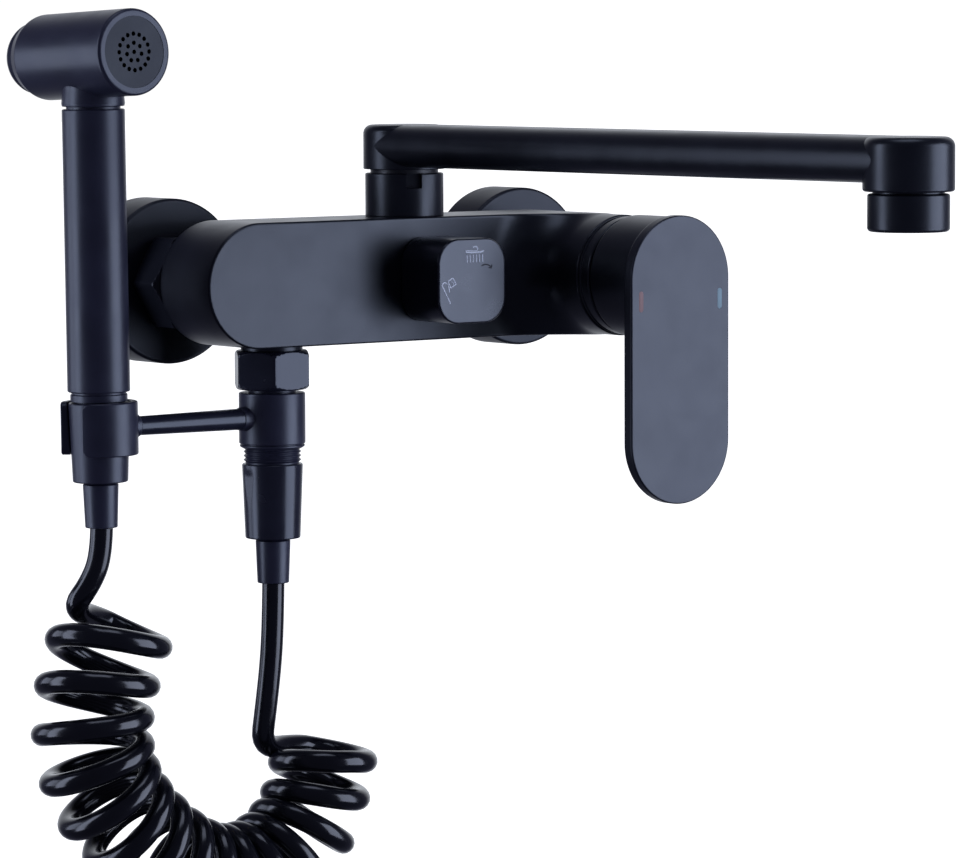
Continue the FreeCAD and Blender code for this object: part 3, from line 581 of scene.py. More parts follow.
PAINT_GRAIN = (2500.0, 2.0)
COAT = PowderCoat("matte_black_coat", (0.0050, 0.0056, 0.0088), 0.33)
# A lit copy of the black coat: its lighter base colour and higher IOR paint in the bright sheen of the lever plate's
# face.
PLATE_LIT_COPY_COAT = PowderCoat("satin_black_plate", (0.0060, 0.0064, 0.0110), 0.36, ior=1.56)
# A lit copy of the black coat: its lighter base colour and higher IOR paint in the bright sheen of the knob's face.
KNOB_LIT_COPY_COAT = PowderCoat("satin_black_knob", (0.0062, 0.0068, 0.0115), 0.30, ior=1.61)
WALL_COAT = PowderCoat("dull_black_coat", (0.0046, 0.0050, 0.0086), 0.40, ior=1.40)
SPRAY_COAT = PowderCoat("satin_charcoal_coat", (0.0150, 0.0152, 0.0290), 0.36, ior=1.56)
NUT_COAT = PowderCoat("gloss_black_coat", (0.0110, 0.0114, 0.0200), 0.24, grain=(900.0, 2.0), depth=0.000012)
HOSE_SKIN = Finish("gloss_black_hose", (0.0030, 0.0032, 0.0052), 0.17, Slot.HOSE, 1.52, lift=0.8,
                   spread=(-0.04, 0.05), tone=(60.0, 3.0), wear=(150.0, 3.0), grain=(260.0, 3.0), strength=0.25,
                   depth=0.00006)
BRASS = Metal("machined_brass", (0.62, 0.45, 0.20), 0.30, Slot.BRASS)
STEEL = Metal("plain_steel", (0.52, 0.53, 0.55), 0.28, Slot.STEEL)
SEAL = Moulded("black_seal_rubber", (0.012, 0.012, 0.013), 0.60, Slot.SEAL)
CERAMIC_DISC = Moulded("polished_ceramic", (0.70, 0.69, 0.65), 0.12, Slot.CERAMIC)
WHITE_ACETAL = Moulded("white_acetal", (0.66, 0.66, 0.63), 0.42, Slot.WHITE_PLASTIC)
BLACK_ACETAL = Moulded("black_acetal", (0.012, 0.013, 0.017), 0.38)
HOT_PAINT = Moulded("hot_red_paint", (0.22, 0.115, 0.105), 0.50, Slot.HOT, grain=PAINT_GRAIN)
COLD_PAINT = Moulded("cold_blue_paint", (0.17, 0.27, 0.30), 0.50, Slot.COLD, grain=PAINT_GRAIN)
ICON_PAINT = Moulded("pale_icon_paint", (0.66, 0.69, 0.74), 0.50, Slot.ICON, grain=PAINT_GRAIN)
ARROW_PAINT = Moulded("dark_arrow_paint", (0.010, 0.010, 0.014), 0.55, Slot.ICON, grain=PAINT_GRAIN)


def add(name: str, patches: Sequence[Patch], finish: Finish, body: Body, *nodes: str,
        slot: Slot | None = None) -> Thing:
    """Builds a piece, makes it ride on a body, and lets it stand for CAD nodes.

    Args:
        name: the piece's name.
        patches: its surfaces.
        finish: its finish.
        body: the body that it moves with.
        nodes: the CAD nodes that it replaces.
        slot: the record's slot, where it isn't the finish's own; not used.

    Returns:
        The piece.
    """
    piece = skin(name, patches, finish.make())
    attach(piece, body.value)
    if nodes:
        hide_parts(*nodes)
    LOG.info("%s rides on %s", name, body.value)
    return piece


def dress(finish: Finish, *nodes: str) -> None:
    """Gives CAD nodes that stay a finish.

    Args:
        finish: the finish.
        nodes: the CAD nodes.
    """
    for name in nodes:
        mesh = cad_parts[name].data
        mesh.materials.clear()
        mesh.materials.append(finish.make())
        LOG.info("%s keeps its shape, in %s", name, finish.name)


# ---- sub-assemblies ----
def hex_nut(base: Sequence[float], axis: Sequence[float], across: float, bore: float, length: float,
            bevel: float) -> Patch:
    """A hexagonal nut with softened corners that are turned down at both ends.

    The radius at an angle is the soft least of across / 2 / cos(angle - flat's middle) over the six flats, and of a
    cone that rises from just under the flats at each end face, and passes the corners a little before the bevel ends.

    Args:
        base: centre of the lower end.
        axis: direction of the nut.
        across: distance across the flats.
        bore: radius of the hole.
        length: length along the axis.
        bevel: height of the turned down part.

    Returns:
        The patch.
    """
    sides, half = 180, across / 2
    corner_soft, bevel_soft, end_step, pace = 0.10, 0.12, 0.35, 1.25
    corner_rise = 0.155 * half
    turns, middles = even_turns(sides), even_turns(6, math.pi / 6)
    hexagon = soft_least(half / np.maximum(np.cos(turns[:, None] - middles), 0.05), corner_soft, axis=1)
    ends = np.array([0.0, 0.1, 0.25, 0.45, 0.7, 1.0, 1.3]) * bevel
    heights = np.concatenate([ends, [length / 2], length - ends[::-1]])
    near = np.minimum(heights, length - heights)[:, None]
    cone = half - end_step + near * (corner_rise + end_step) / bevel * pace
    outside = soft_least(np.stack(np.broadcast_arrays(hexagon, cone + 0 * turns)), bevel_soft, axis=0)
    radii = np.concatenate([outside, np.full((2, sides), bore)])
    return Patch(about_axis(base, axis, turns, radii, np.concatenate([heights, [length, 0.0]])), loop=True)


@dataclass
class WallInlet:
    """One wall inlet: its round cover, the union nut, and the union and nipple inside."""

    side: Side
    spacing: float = 150.0
    cover_radius: float = 28.0
    cover_depth: float = 17.0
    cover_edge: float = 1.1
    wall: float = 1.2
    hole: float = 13.3
    nut_across: float = 30.0
    nut_span: tuple[float, float] = (-31.4, -18.0)
    nut_bore: float = 8.6
    nut_bevel: float = 1.4

    def cover(self, centre: Array) -> Patch:
        """The cover: a round cup with a rounded front edge and a hole for the union.

        Args:
            centre: the middle of the inlet on the wall.

        Returns:
            The patch.
        """
        r, d, w = self.cover_radius, self.cover_depth, self.wall
        corners = [(self.hole, d - w), (r - w, d - w, 0.5), (r - w, 0.0), (r, 0.0), (r, d, self.cover_edge),
                   (self.hole, d, 0.3)]
        return turned(corners, centre, -Y_AXIS, 128, closed=True)

    def build(self) -> None:
        """Builds the cover and the nut, and dresses the parts inside."""
        word = self.side.name.lower()
        centre = np.array([self.side.value * self.spacing / 2, 0.0, 0.0])
        low, high = self.nut_span
        add(f"wall_cover_{word}", [self.cover(centre)], WALL_COAT, Body.FAUCET, f"escutcheon_{word}")
        nut = hex_nut(centre + Y_AXIS * low, Y_AXIS, self.nut_across, self.nut_bore, high - low,
                      self.nut_bevel)
        add(f"hex_union_{word}", [nut], WALL_COAT, Body.FAUCET, f"union_nut_{word}")
        dress(BRASS, f"eccentric_union_{word}", f"inlet_nipple_{word}")


@dataclass
class Casting:
    """The faucet's body: a stadium block whose front sweeps into the round boss of the lever."""

    half_height: float = 21.0
    left: float = -69.3
    right: float = LEVER_X
    back: float = -32.0
    front: float = -61.0
    boss_radius: float = 20.8
    boss_front: float = BOSS_FRONT
    sweep_radius: float = 18.0
    edge: float = 0.7
    guard: float = 1.6
    mouth: float = 18.7
    nearest_rays: float = 0.0009

    def turns(self) -> Array:
        """Angles of the rays from the lever's axis: even ones, and ones that meet the left end evenly.

        Returns:
            The angles in order.
        """
        ends = np.radians(np.arange(90.0, 271.0, 3.0))
        x, z = self.left - self.right + self.half_height * np.cos(ends), self.half_height * np.sin(ends)
        along = np.linspace(self.left - self.right, 0, 24)
        tops = np.arctan2(self.half_height, along)
        rays = np.concatenate([even_turns(240), np.arctan2(z, x) % FULL, tops, FULL - tops])
        rays = np.unique(np.round(rays % FULL, 4))
        return rays[np.concatenate([[True], np.diff(rays) > self.nearest_rays])]

    def reach(self, turns: Array, inset: Array | float) -> Array:
        """Distance from the lever's axis to the outline moved inwards by inset, along each ray.

        It is the outline's radius r on the right; r / |sin| on the straights; and on the left end the far root of
        |t * ray - end centre| = r.

        Args:
            turns: the rays' angles.
            inset: how far the outline is moved inwards.

        Returns:
            One distance for each ray.
        """
        radius, span = self.half_height - inset, self.right - self.left
        cos, sin = np.cos(turns), np.sin(turns)
        straight = radius / np.maximum(np.abs(sin), 1e-9)
        end = -span * cos + np.sqrt(np.maximum(radius ** 2 - (span * sin) ** 2, 0))
        return np.where(cos >= 0, radius, np.where(straight * -cos > span, end, straight))

    def bank(self, distance: Array) -> Array:
        """The angle along the sweep at a distance from the lever's axis: arcsin((foot - distance) / radius)."""
        foot = self.boss_radius + self.sweep_radius
        return np.arcsin(np.clip((foot - distance) / self.sweep_radius, 0, 1))

    def surface(self) -> Patch:
        """The closed skin. Each ray from the lever's axis is a profile of (distance, rise of the front).

        It runs from the middle of the back over the back edge, up the wall, over the front edge and along the flat
        front to the sweep, whose points are (foot - R sin a, R - R cos a), then up the boss and into its mouth.

        Returns:
            The patch.
        """
        turns = self.turns()
        level = np.zeros_like(turns)
        foot, sweep = self.boss_radius + self.sweep_radius, self.sweep_radius
        depth = self.back - self.front
        rows: list[tuple[Array, Array]] = [(level, level - depth), (self.reach(turns, self.guard), level - depth)]
        for a in np.linspace(0, math.pi / 2, 5):
            there = self.reach(turns, self.edge * (1 - math.sin(a)))
            rows.append((there, level - depth + self.edge * (1 - math.cos(a))))
        rim = self.reach(turns, 0.0)
        rows.append((rim, level - depth + self.guard))
        lift = sweep * (1 - np.cos(self.bank(rim)))
        soft = np.minimum(self.edge, 0.4 * (rim - self.boss_radius))
        rows.append((rim, lift - self.guard * soft))
        for a in np.linspace(0, math.pi / 2, 5):
            there = self.reach(turns, soft * (1 - math.cos(a)))
            rows.append((there, sweep * (1 - np.cos(self.bank(there))) - soft * (1 - math.sin(a))))
        start = self.reach(turns, self.guard * soft)
        for share in (0.0, 0.06, 0.3, 0.6, 0.94, 1.0):
            there = start + share * (np.minimum(start, foot) - start)
            rows.append((there, sweep * (1 - np.cos(self.bank(there)))))
        first = self.bank(start)
        for share in np.linspace(0.05, 1.0, 20):
            a = first + share * (math.pi / 2 - first)
            rows.append((foot - sweep * np.sin(a), sweep * (1 - np.cos(a))))
        top = self.front - self.boss_front
        boss = outline([(self.boss_radius, sweep), (self.boss_radius, top, 0.55), (self.mouth, top, 0.2),
                        (self.mouth, top - 4.0), (0.0, top - 4.0)])
        rows += [(level + r, level + h) for r, h in boss[1:]]
        radii, rises = (np.stack(part) for part in zip(*rows))
        grid = about_axis((self.right, self.front, 0), -Y_AXIS, turns, radii, rises)
        return Patch(grid)

    def build(self) -> None:
        """Builds the casting."""
        add("cast_body", [self.surface()], COAT, Body.FAUCET, "faucet_body")
        dress(SEAL, "inlet_washers")


@dataclass
class MixingCartridge:
    """The cartridge in the boss and the domed ring that covers it."""

    axis_x: float = LEVER_X
    start: float = BOSS_FRONT
    radius: float = 20.3
    depth: float = 5.6
    bore: float = 14.5
    back_bore: float = 18.6
    groove: float = 0.45

    def ring(self) -> Patch:
        """The cover ring: a stepped collar with a fine groove round it.

        Returns:
            The patch.
        """
        r, d = self.radius, self.depth
        bore, back, cut = self.bore, self.back_bore, r - self.groove
        corners = [(bore, d - 1.5), (bore, d, 0.2), (r, d, 0.7), (r, 1.9, 0.1), (cut, 1.6, 0.1), (cut, 1.1, 0.1),
                   (r, 0.8, 0.1), (r, 0.0), (back, 0.0), (back, d - 1.5)]
        return turned(corners, (self.axis_x, self.start, 0), -Y_AXIS, 128, closed=True)

    def build(self) -> None:
        """Builds the ring and dresses the parts inside."""
        add("boss_ring", [self.ring()], COAT, Body.FAUCET, "cartridge_cap")
        dress(BRASS, "cartridge_nut")
        dress(WHITE_ACETAL, "cartridge_base", "cartridge_housing", "lever_carrier")
        dress(CERAMIC_DISC, "fixed_ceramic_disc", "moving_ceramic_disc")
        dress(SEAL, "cartridge_seals")
        dress(STEEL, "lever_pin")


@dataclass
class LeverHandle:
    """The handle: a round hollow hub with a long flat plate in front."""

    axis_x: float = LEVER_X
    low_centre: float = -55.3
    half_width: float = 21.5
    front: float = -118.0
    thickness: float = 4.3
    bevel: float = 0.42
    hub_radius: float = 21.0
    hub_back: float = -94.8
    cup_radius: float = 19.8
    cup_floor: float = 4.0
    mark_offset: float = 17.3
    mark_span: tuple[float, float] = (-10.8, -3.7)
    mark_width: float = 1.9
    mark_proud: float = 0.1

    def plate(self) -> Patch:
        """The plate: its outline in layers, with a small bevel round the front and a softened back edge.

        Returns:
            The patch.
        """
        centres, normals = arcs_round([(self.axis_x, 0.0, math.pi / 2), (self.axis_x, self.low_centre, -math.pi / 2)],
                                      math.pi, 72)
        back, b = self.front + self.thickness, self.bevel
        r = self.half_width
        layers = [(r, back), (1.2, back), (0.6, back), (0.3, back - 0.08), (0.08, back - 0.3), (0.0, back - 0.6),
                  (0.0, back - 1.0), (0.0, self.front + b + 0.35), (0.0, self.front + b), (0.05, self.front + b - 0.12),
                  (b - 0.12, self.front + 0.05), (b, self.front), (b + 0.4, self.front), (r, self.front)]
        table = np.array([(inset, 1.0, y) for inset, y in layers])
        return Patch(layered(centres, normals, r, table, (self.axis_x, self.low_centre / 2)))

    def hub(self) -> Patch:
        """The hub: a cup that opens towards the boss, with a bevelled rim.

        Returns:
            The patch.
        """
        back = self.front + self.thickness
        depth, r, cup = self.hub_back - back, self.hub_radius, self.cup_radius
        corners = [(0, -0.5), (r - 0.4, -0.5), (r - 0.4, 0.0), (r, 0.3), (r, depth, 0.75), (cup, depth, 0.15),
                   (cup, self.cup_floor, 0.5), (0, self.cup_floor)]
        return turned(corners, (self.axis_x, back, 0), Y_AXIS, 144)

    def build(self) -> None:
        """Builds the handle and dresses its marks, stem and screw."""
        # The plate wears the lit copy of the black coat, whose lighter base colour paints in its face's bright sheen.
        add("handle_plate", [self.plate()], PLATE_LIT_COPY_COAT, Body.HANDLE, "handle")
        add("handle_hub", [self.hub()], COAT, Body.HANDLE, "handle")
        for node, offset, paint in (("hot_mark", -self.mark_offset, HOT_PAINT),
                                    ("cold_mark", self.mark_offset, COLD_PAINT)):
            ends = [(offset, end) for end in self.mark_span]
            mark = stroke(ends, (self.axis_x, self.front, 0.0), self.mark_width, self.mark_proud)
            add(f"{node}_bar", [mark], paint, Body.HANDLE, node)
        dress(BRASS, "lever_stem")
        dress(STEEL, "handle_set_screw")


def stroke(points: Sequence[tuple[float, float]], centre: tuple[float, float, float], width: float = 0.5,
           proud: float = 0.15) -> Patch:
    """A painted line on a face that looks along -Y: a low oval rod through smoothed points, round at its ends.

    The line is resampled evenly; the radius is half the width times sqrt(1 - t * t), where t grows from 0 to 1 over
    the last half width at each end.

    Args:
        points: the line's corners, as (x, z) from the face's centre.
        centre: the face's centre.
        width: width of the line.
        proud: how far it stands out of the face.

    Returns:
        The patch.
    """
    corners = np.asarray(points, float)
    steps = np.concatenate([[0], np.cumsum(np.linalg.norm(np.diff(corners, axis=0), axis=1))])
    half = width / 2
    ends = half * (1 - np.cos(np.linspace(0, math.pi / 2, 5)))
    middle = np.linspace(half, steps[-1] - half, max(4, int(steps[-1] / 0.25)))
    along = np.concatenate([ends[1:-1], middle, steps[-1] - ends[1:-1][::-1]])
    x, z = (np.interp(along, steps, corners[:, k]) for k in (0, 1))
    line = np.asarray(centre) + np.stack([x, 0 * x, z], axis=-1)
    near = np.clip(1 - np.minimum(along, steps[-1] - along) / half, 0, 1)
    side = np.cross(directions(line), Y_AXIS)
    turns = even_turns(8)[None, :, None]
    thick = np.sqrt(1 - near ** 2)[:, None, None]
    rim = line[:, None] + thick * (half * np.cos(turns) * side[:, None] - proud * np.sin(turns) * Y_AXIS)
    first, last = (np.asarray(centre) + [corners[k, 0], 0, corners[k, 1]] for k in (0, -1))
    return capped(rim, first, last)


@dataclass
class DiverterKnob:
    """The square knob with big round corners that sends the water to the spout or to the sprayer."""

    axis_x: float = 2.65
    half: float = 14.3
    corner: float = 8.5
    back: float = -61.5
    front: float = -82.4
    bevel: float = 0.5
    neck_radius: float = 8.4
    neck_start: float = -60.0
    neck_length: float = 2.0

    def block(self) -> Patch:
        """The knob: a rounded square in layers, bevelled round its face.

        Returns:
            The patch.
        """
        c = self.half - self.corner
        ways = ((1, -1), (1, 1), (-1, 1), (-1, -1))
        corners = [(self.axis_x + x * c, z * c, math.atan2(z, x)) for x, z in ways]
        centres, normals = arcs_round(corners, math.pi / 2, 16)
        r, b, f, k = self.corner, self.bevel, self.front, self.back
        layers = [(r, 0.0, k), (1.5, 1.0, k), (0.7, 1.0, k), (0.2, 1.0, k - 0.1), (0.0, 1.0, k - 0.5),
                  (0.0, 1.0, k - 1.0), (0.0, 1.0, f + b + 0.4), (0.0, 1.0, f + b), (0.06, 1.0, f + b - 0.12),
                  (b - 0.12, 1.0, f + 0.06), (b, 1.0, f), (b + 0.5, 1.0, f), (r - 0.5, 1.0, f), (r - 0.5, 0.0, f)]
        return Patch(layered(centres, normals, r, np.array(layers), (self.axis_x, 0.0)))

    def neck(self) -> Patch:
        """The round neck between the body and the knob."""
        corners = [(0, 0), (self.neck_radius, 0), (self.neck_radius, self.neck_length), (0, self.neck_length)]
        return turned(corners, (self.axis_x, self.neck_start, 0), -Y_AXIS, 64)

    def icons(self) -> list[Patch]:
        """A bath spout with falling water at the top and a hand shower at the left, in thin strokes.

        Returns:
            One patch for each stroke.
        """
        face = (self.axis_x, self.front, 0.0)
        lines: list[tuple[list[tuple[float, float]], float]] = [
            ([(-3.0, 10.2), (-2.4, 9.7), (0.8, 9.55), (3.8, 9.7), (5.0, 10.2)], 0.5),
            ([(-2.8, 10.3), (0.6, 10.15), (2.0, 10.1)], 0.35),
            ([(0.2, 11.3), (1.0, 11.6), (1.9, 11.4), (2.3, 10.8), (1.8, 10.3)], 0.5)]
        lines += [([(x, 8.9), (x, 6.2)], 0.42) for x in np.linspace(-2.3, 4.3, 6)]
        lines += [([(-13.0, -0.9), (-9.3, -7.4)], 0.5), ([(-13.0, -0.9), (-11.8, -0.1), (-10.6, -0.6)], 0.45),
                  ([(-10.6, -0.6), (-10.0, -2.0), (-9.7, -3.6)], 0.45), ([(-10.4, 0.2), (-8.3, 1.3)], 0.45),
                  ([(-8.3, 1.3), (-7.0, -0.8), (-9.2, -2.1), (-10.4, 0.2)], 0.4),
                  ([(-8.9, 0.4), (-8.0, -1.0)], 0.3)]
        return [stroke(points, face, width) for points, width in lines]

    def arrow(self) -> list[Patch]:
        """The dark curved arrow between the two icons.

        Returns:
            One patch for each stroke.
        """
        face = (self.axis_x, self.front, 0.0)
        sweep = np.radians(np.linspace(125, 30, 9))
        arc = [(5.6 + 3.0 * math.cos(a), 2.8 + 2.6 * math.sin(a)) for a in sweep]
        tip = arc[-1]
        return [stroke(arc, face, 0.45, 0.08), stroke([(tip[0] - 1.3, tip[1] + 0.2), tip, (tip[0] + 0.1, tip[1] + 1.3)],
                                                      face, 0.4, 0.08)]

    def build(self) -> None:
        """Builds the knob and its icons and dresses the parts behind it."""
        # The knob wears the lit copy of the black coat, whose lighter base colour paints in its face's bright sheen.
        add("diverter_block", [self.block(), self.neck()], KNOB_LIT_COPY_COAT, Body.DIVERTER, "diverter_knob")
        add("knob_pictograms", self.icons(), ICON_PAINT, Body.DIVERTER, "knob_icons")
        add("knob_turn_arrow", self.arrow(), ARROW_PAINT, Body.DIVERTER)
        dress(BRASS, "diverter_seat", "diverter_nut", "diverter_stem")
        dress(WHITE_ACETAL, "diverter_housing", "diverter_rotor")
        dress(STEEL, "knob_set_screw")


@dataclass
class SpoutSeat:
    """What the spout turns on: a slotted collar, a slip washer, and the nipple with its seal rings."""

    axis: tuple[float, float] = SPOUT_AXIS
    radius: float = 13.4
    inner: float = 8.6
    low: float = 21.0
    top: float = 35.7
    notch_turn: float = -112.0
    notch_half: float = 12.1
    notch_floor: float = 30.7
    notch_radius: float = 11.5

    def collar(self) -> Patch:
        """The collar. Inside the notch's angles and over its floor the radius is notch radius / cos(offset).

        Returns:
            The patch.
        """
        edges = self.notch_turn + np.array([-1, 1]) * self.notch_half
        fine = np.concatenate([edges - 0.12, edges + 0.12, np.linspace(*edges, 7)[1:-1]])
        turns = np.radians(np.sort(np.concatenate([np.arange(0.0, 360.0, 3.0), fine % 360])))
        offset = (turns - math.radians(self.notch_turn) + math.pi) % FULL - math.pi
        cut = np.abs(offset) < math.radians(self.notch_half)
        line = outline([(self.inner, self.low), (self.radius, self.low, 0.3), (self.radius, self.notch_floor - 0.02),
                        (self.radius, self.notch_floor + 0.02), (self.radius, self.top, 0.45), (self.inner, self.top)],
                       closed=True)
        radii = np.repeat(line[:, :1], len(turns), axis=1)
        over = (line[:, 1] > self.notch_floor)[:, None] & cut
        radii = np.where(over, np.minimum(radii, self.notch_radius / np.cos(offset)), radii)
        return Patch(about_axis((*self.axis, 0), Z_AXIS, turns, radii, line[:, 1]), loop=True)

    def build(self) -> None:
        """Builds the collar and dresses the rest."""
        add("spout_ring", [self.collar()], COAT, Body.FAUCET, "spout_collar")
        dress(BRASS, "spout_nipple")
        dress(SEAL, "spout_orings")
        dress(BLACK_ACETAL, "spout_washer")


@dataclass
class Spout:
    """The swivelling spout: an upright over the collar, a flat oval tube, and a round outlet with its aerator."""

    axis: tuple[float, float] = SPOUT_AXIS
    yaw: float = 3.2
    length: float = 241.0
    low: float = 37.05
    top: float = 52.2
    upright_radius: float = 14.0
    outlet_radius: float = 14.2
    outlet_low: float = 35.4
    outlet_bore: float = 11.4
    collar_bore: float = 8.7
    top_round: float = 3.0
    tube_half: float = 6.85
    tube_radius: float = 7.13
    tube_height: float = 45.05
    aerator_radius: float = 12.7
    aerator_low: float = 23.1
    aerator_top: float = 38.0
    aerator_bore: float = 9.5
    aerator_neck: float = 11.1

    def place(self, points: Array) -> Array:
        """Points built along -Y from the swivel axis, moved to that axis and turned to the spout's direction."""
        return moved(points + [*self.axis, 0.0], self.yaw, Z_AXIS, (*self.axis, 0.0))

    def upright(self) -> Patch:
        """The round end over the collar, open below where the collar's nipple enters.

        Returns:
            The patch.
        """
        r = self.upright_radius
        corners = [(self.collar_bore, self.low), (r, self.low, 0.3), (r, self.top, self.top_round), (0, self.top)]
        patch = turned(corners, (0, 0, 0), Z_AXIS, 128, steps=10)
        shut = np.broadcast_to([0.0, 0.0, self.low + 4.0], patch.points[:1].shape)
        return Patch(self.place(np.concatenate([shut, patch.points])))

    def outlet(self) -> Patch:
        """The round outlet end.

        Returns:
            The patch.
        """
        r, low, bore = self.outlet_radius, self.outlet_low, self.outlet_bore
        corners = [(0, low + 3), (bore, low + 3), (bore, low, 0.2), (r, low, 0.9), (r, self.top, self.top_round),
                   (0, self.top)]
        patch = turned(corners, (0, -self.length, 0), Z_AXIS, 128, steps=10)
        return Patch(self.place(patch.points))

    def tube(self) -> Patch:
        """The flat oval tube: an oval of two half circles carried along -Y, shut inside the two round ends.

        Returns:
            The patch.
        """
        turns = np.concatenate([np.linspace(-90, 90, 25), np.linspace(90, 270, 25)]) * math.pi / 180
        shift = np.repeat([self.tube_half, -self.tube_half], 25)
        x, z = shift + self.tube_radius * np.cos(turns), self.tube_radius * np.sin(turns)
        stations = np.array([-1.0, *np.linspace(0.5, self.length - 0.5, 40), self.length + 1.0])
        size = np.where((stations < 0) | (stations > self.length), 0.0, 1.0)[:, None]
        grid = np.stack([size * x, -stations[:, None] + 0 * x, self.tube_height + size * z], axis=-1)
        return Patch(self.place(grid))

    def aerator(self) -> Patch:
        """The aerator's housing below the outlet.

        Returns:
            The patch.
        """
        r, low, top = self.aerator_radius, self.aerator_low, self.aerator_top
        bore, neck = self.aerator_bore, self.aerator_neck
        corners = [(bore, low + 0.8), (bore + 0.4, low, 0.3), (r, low, 1.5), (r, top - 3.4, 0.7), (neck, top - 3.1),
                   (neck, top), (bore, top)]
        patch = turned(corners, (0, -self.length, 0), Z_AXIS, 128, closed=True, steps=6)
        return Patch(self.place(patch.points), loop=True)

    def build(self) -> None:
        """Builds the spout and the aerator's housing, and dresses the insert and the washer."""
        add("spout_arm", [self.upright(), self.outlet(), self.tube()], COAT, Body.SPOUT, "spout")
        add("aerator_shell", [self.aerator()], COAT, Body.SPOUT, "aerator_housing")
        dress(BLACK_ACETAL, "aerator_insert")
        dress(SEAL, "aerator_washer")


@dataclass
class HoseOutlet:
    """The threaded outlet under the body and the hexagonal nut that carries the sprayer's holder."""

    axis: tuple[float, float] = OUTLET_AXIS
    across: float = 24.0
    top: float = -22.6
    low: float = -35.7
    bore: float = 8.1
    bevel: float = 1.7

    def build(self) -> None:
        """Builds the nut and dresses the nipple and washer."""
        nut = hex_nut((*self.axis, self.low), Z_AXIS, self.across, self.bore, self.top - self.low, self.bevel)
        add("outlet_hexagon", [nut], NUT_COAT, Body.FAUCET, "outlet_nut")
        dress(COAT, "outlet_nipple")
        dress(SEAL, "outlet_washer")


@dataclass
class Lean:
    """The sprayer's own axis: upright, then leaned a little towards -X about a point."""

    foot: tuple[float, float, float] = (-124.7, -47.1, -44.9)
    degrees: float = 0.67

    def place(self, patch: Patch) -> Patch:
        """A patch built upright on the Z axis, moved onto the sprayer's axis."""
        shifted = patch.points + [self.foot[0], self.foot[1], 0.0]
        return Patch(moved(shifted, -self.degrees, Y_AXIS, self.foot), patch.ring, patch.loop)


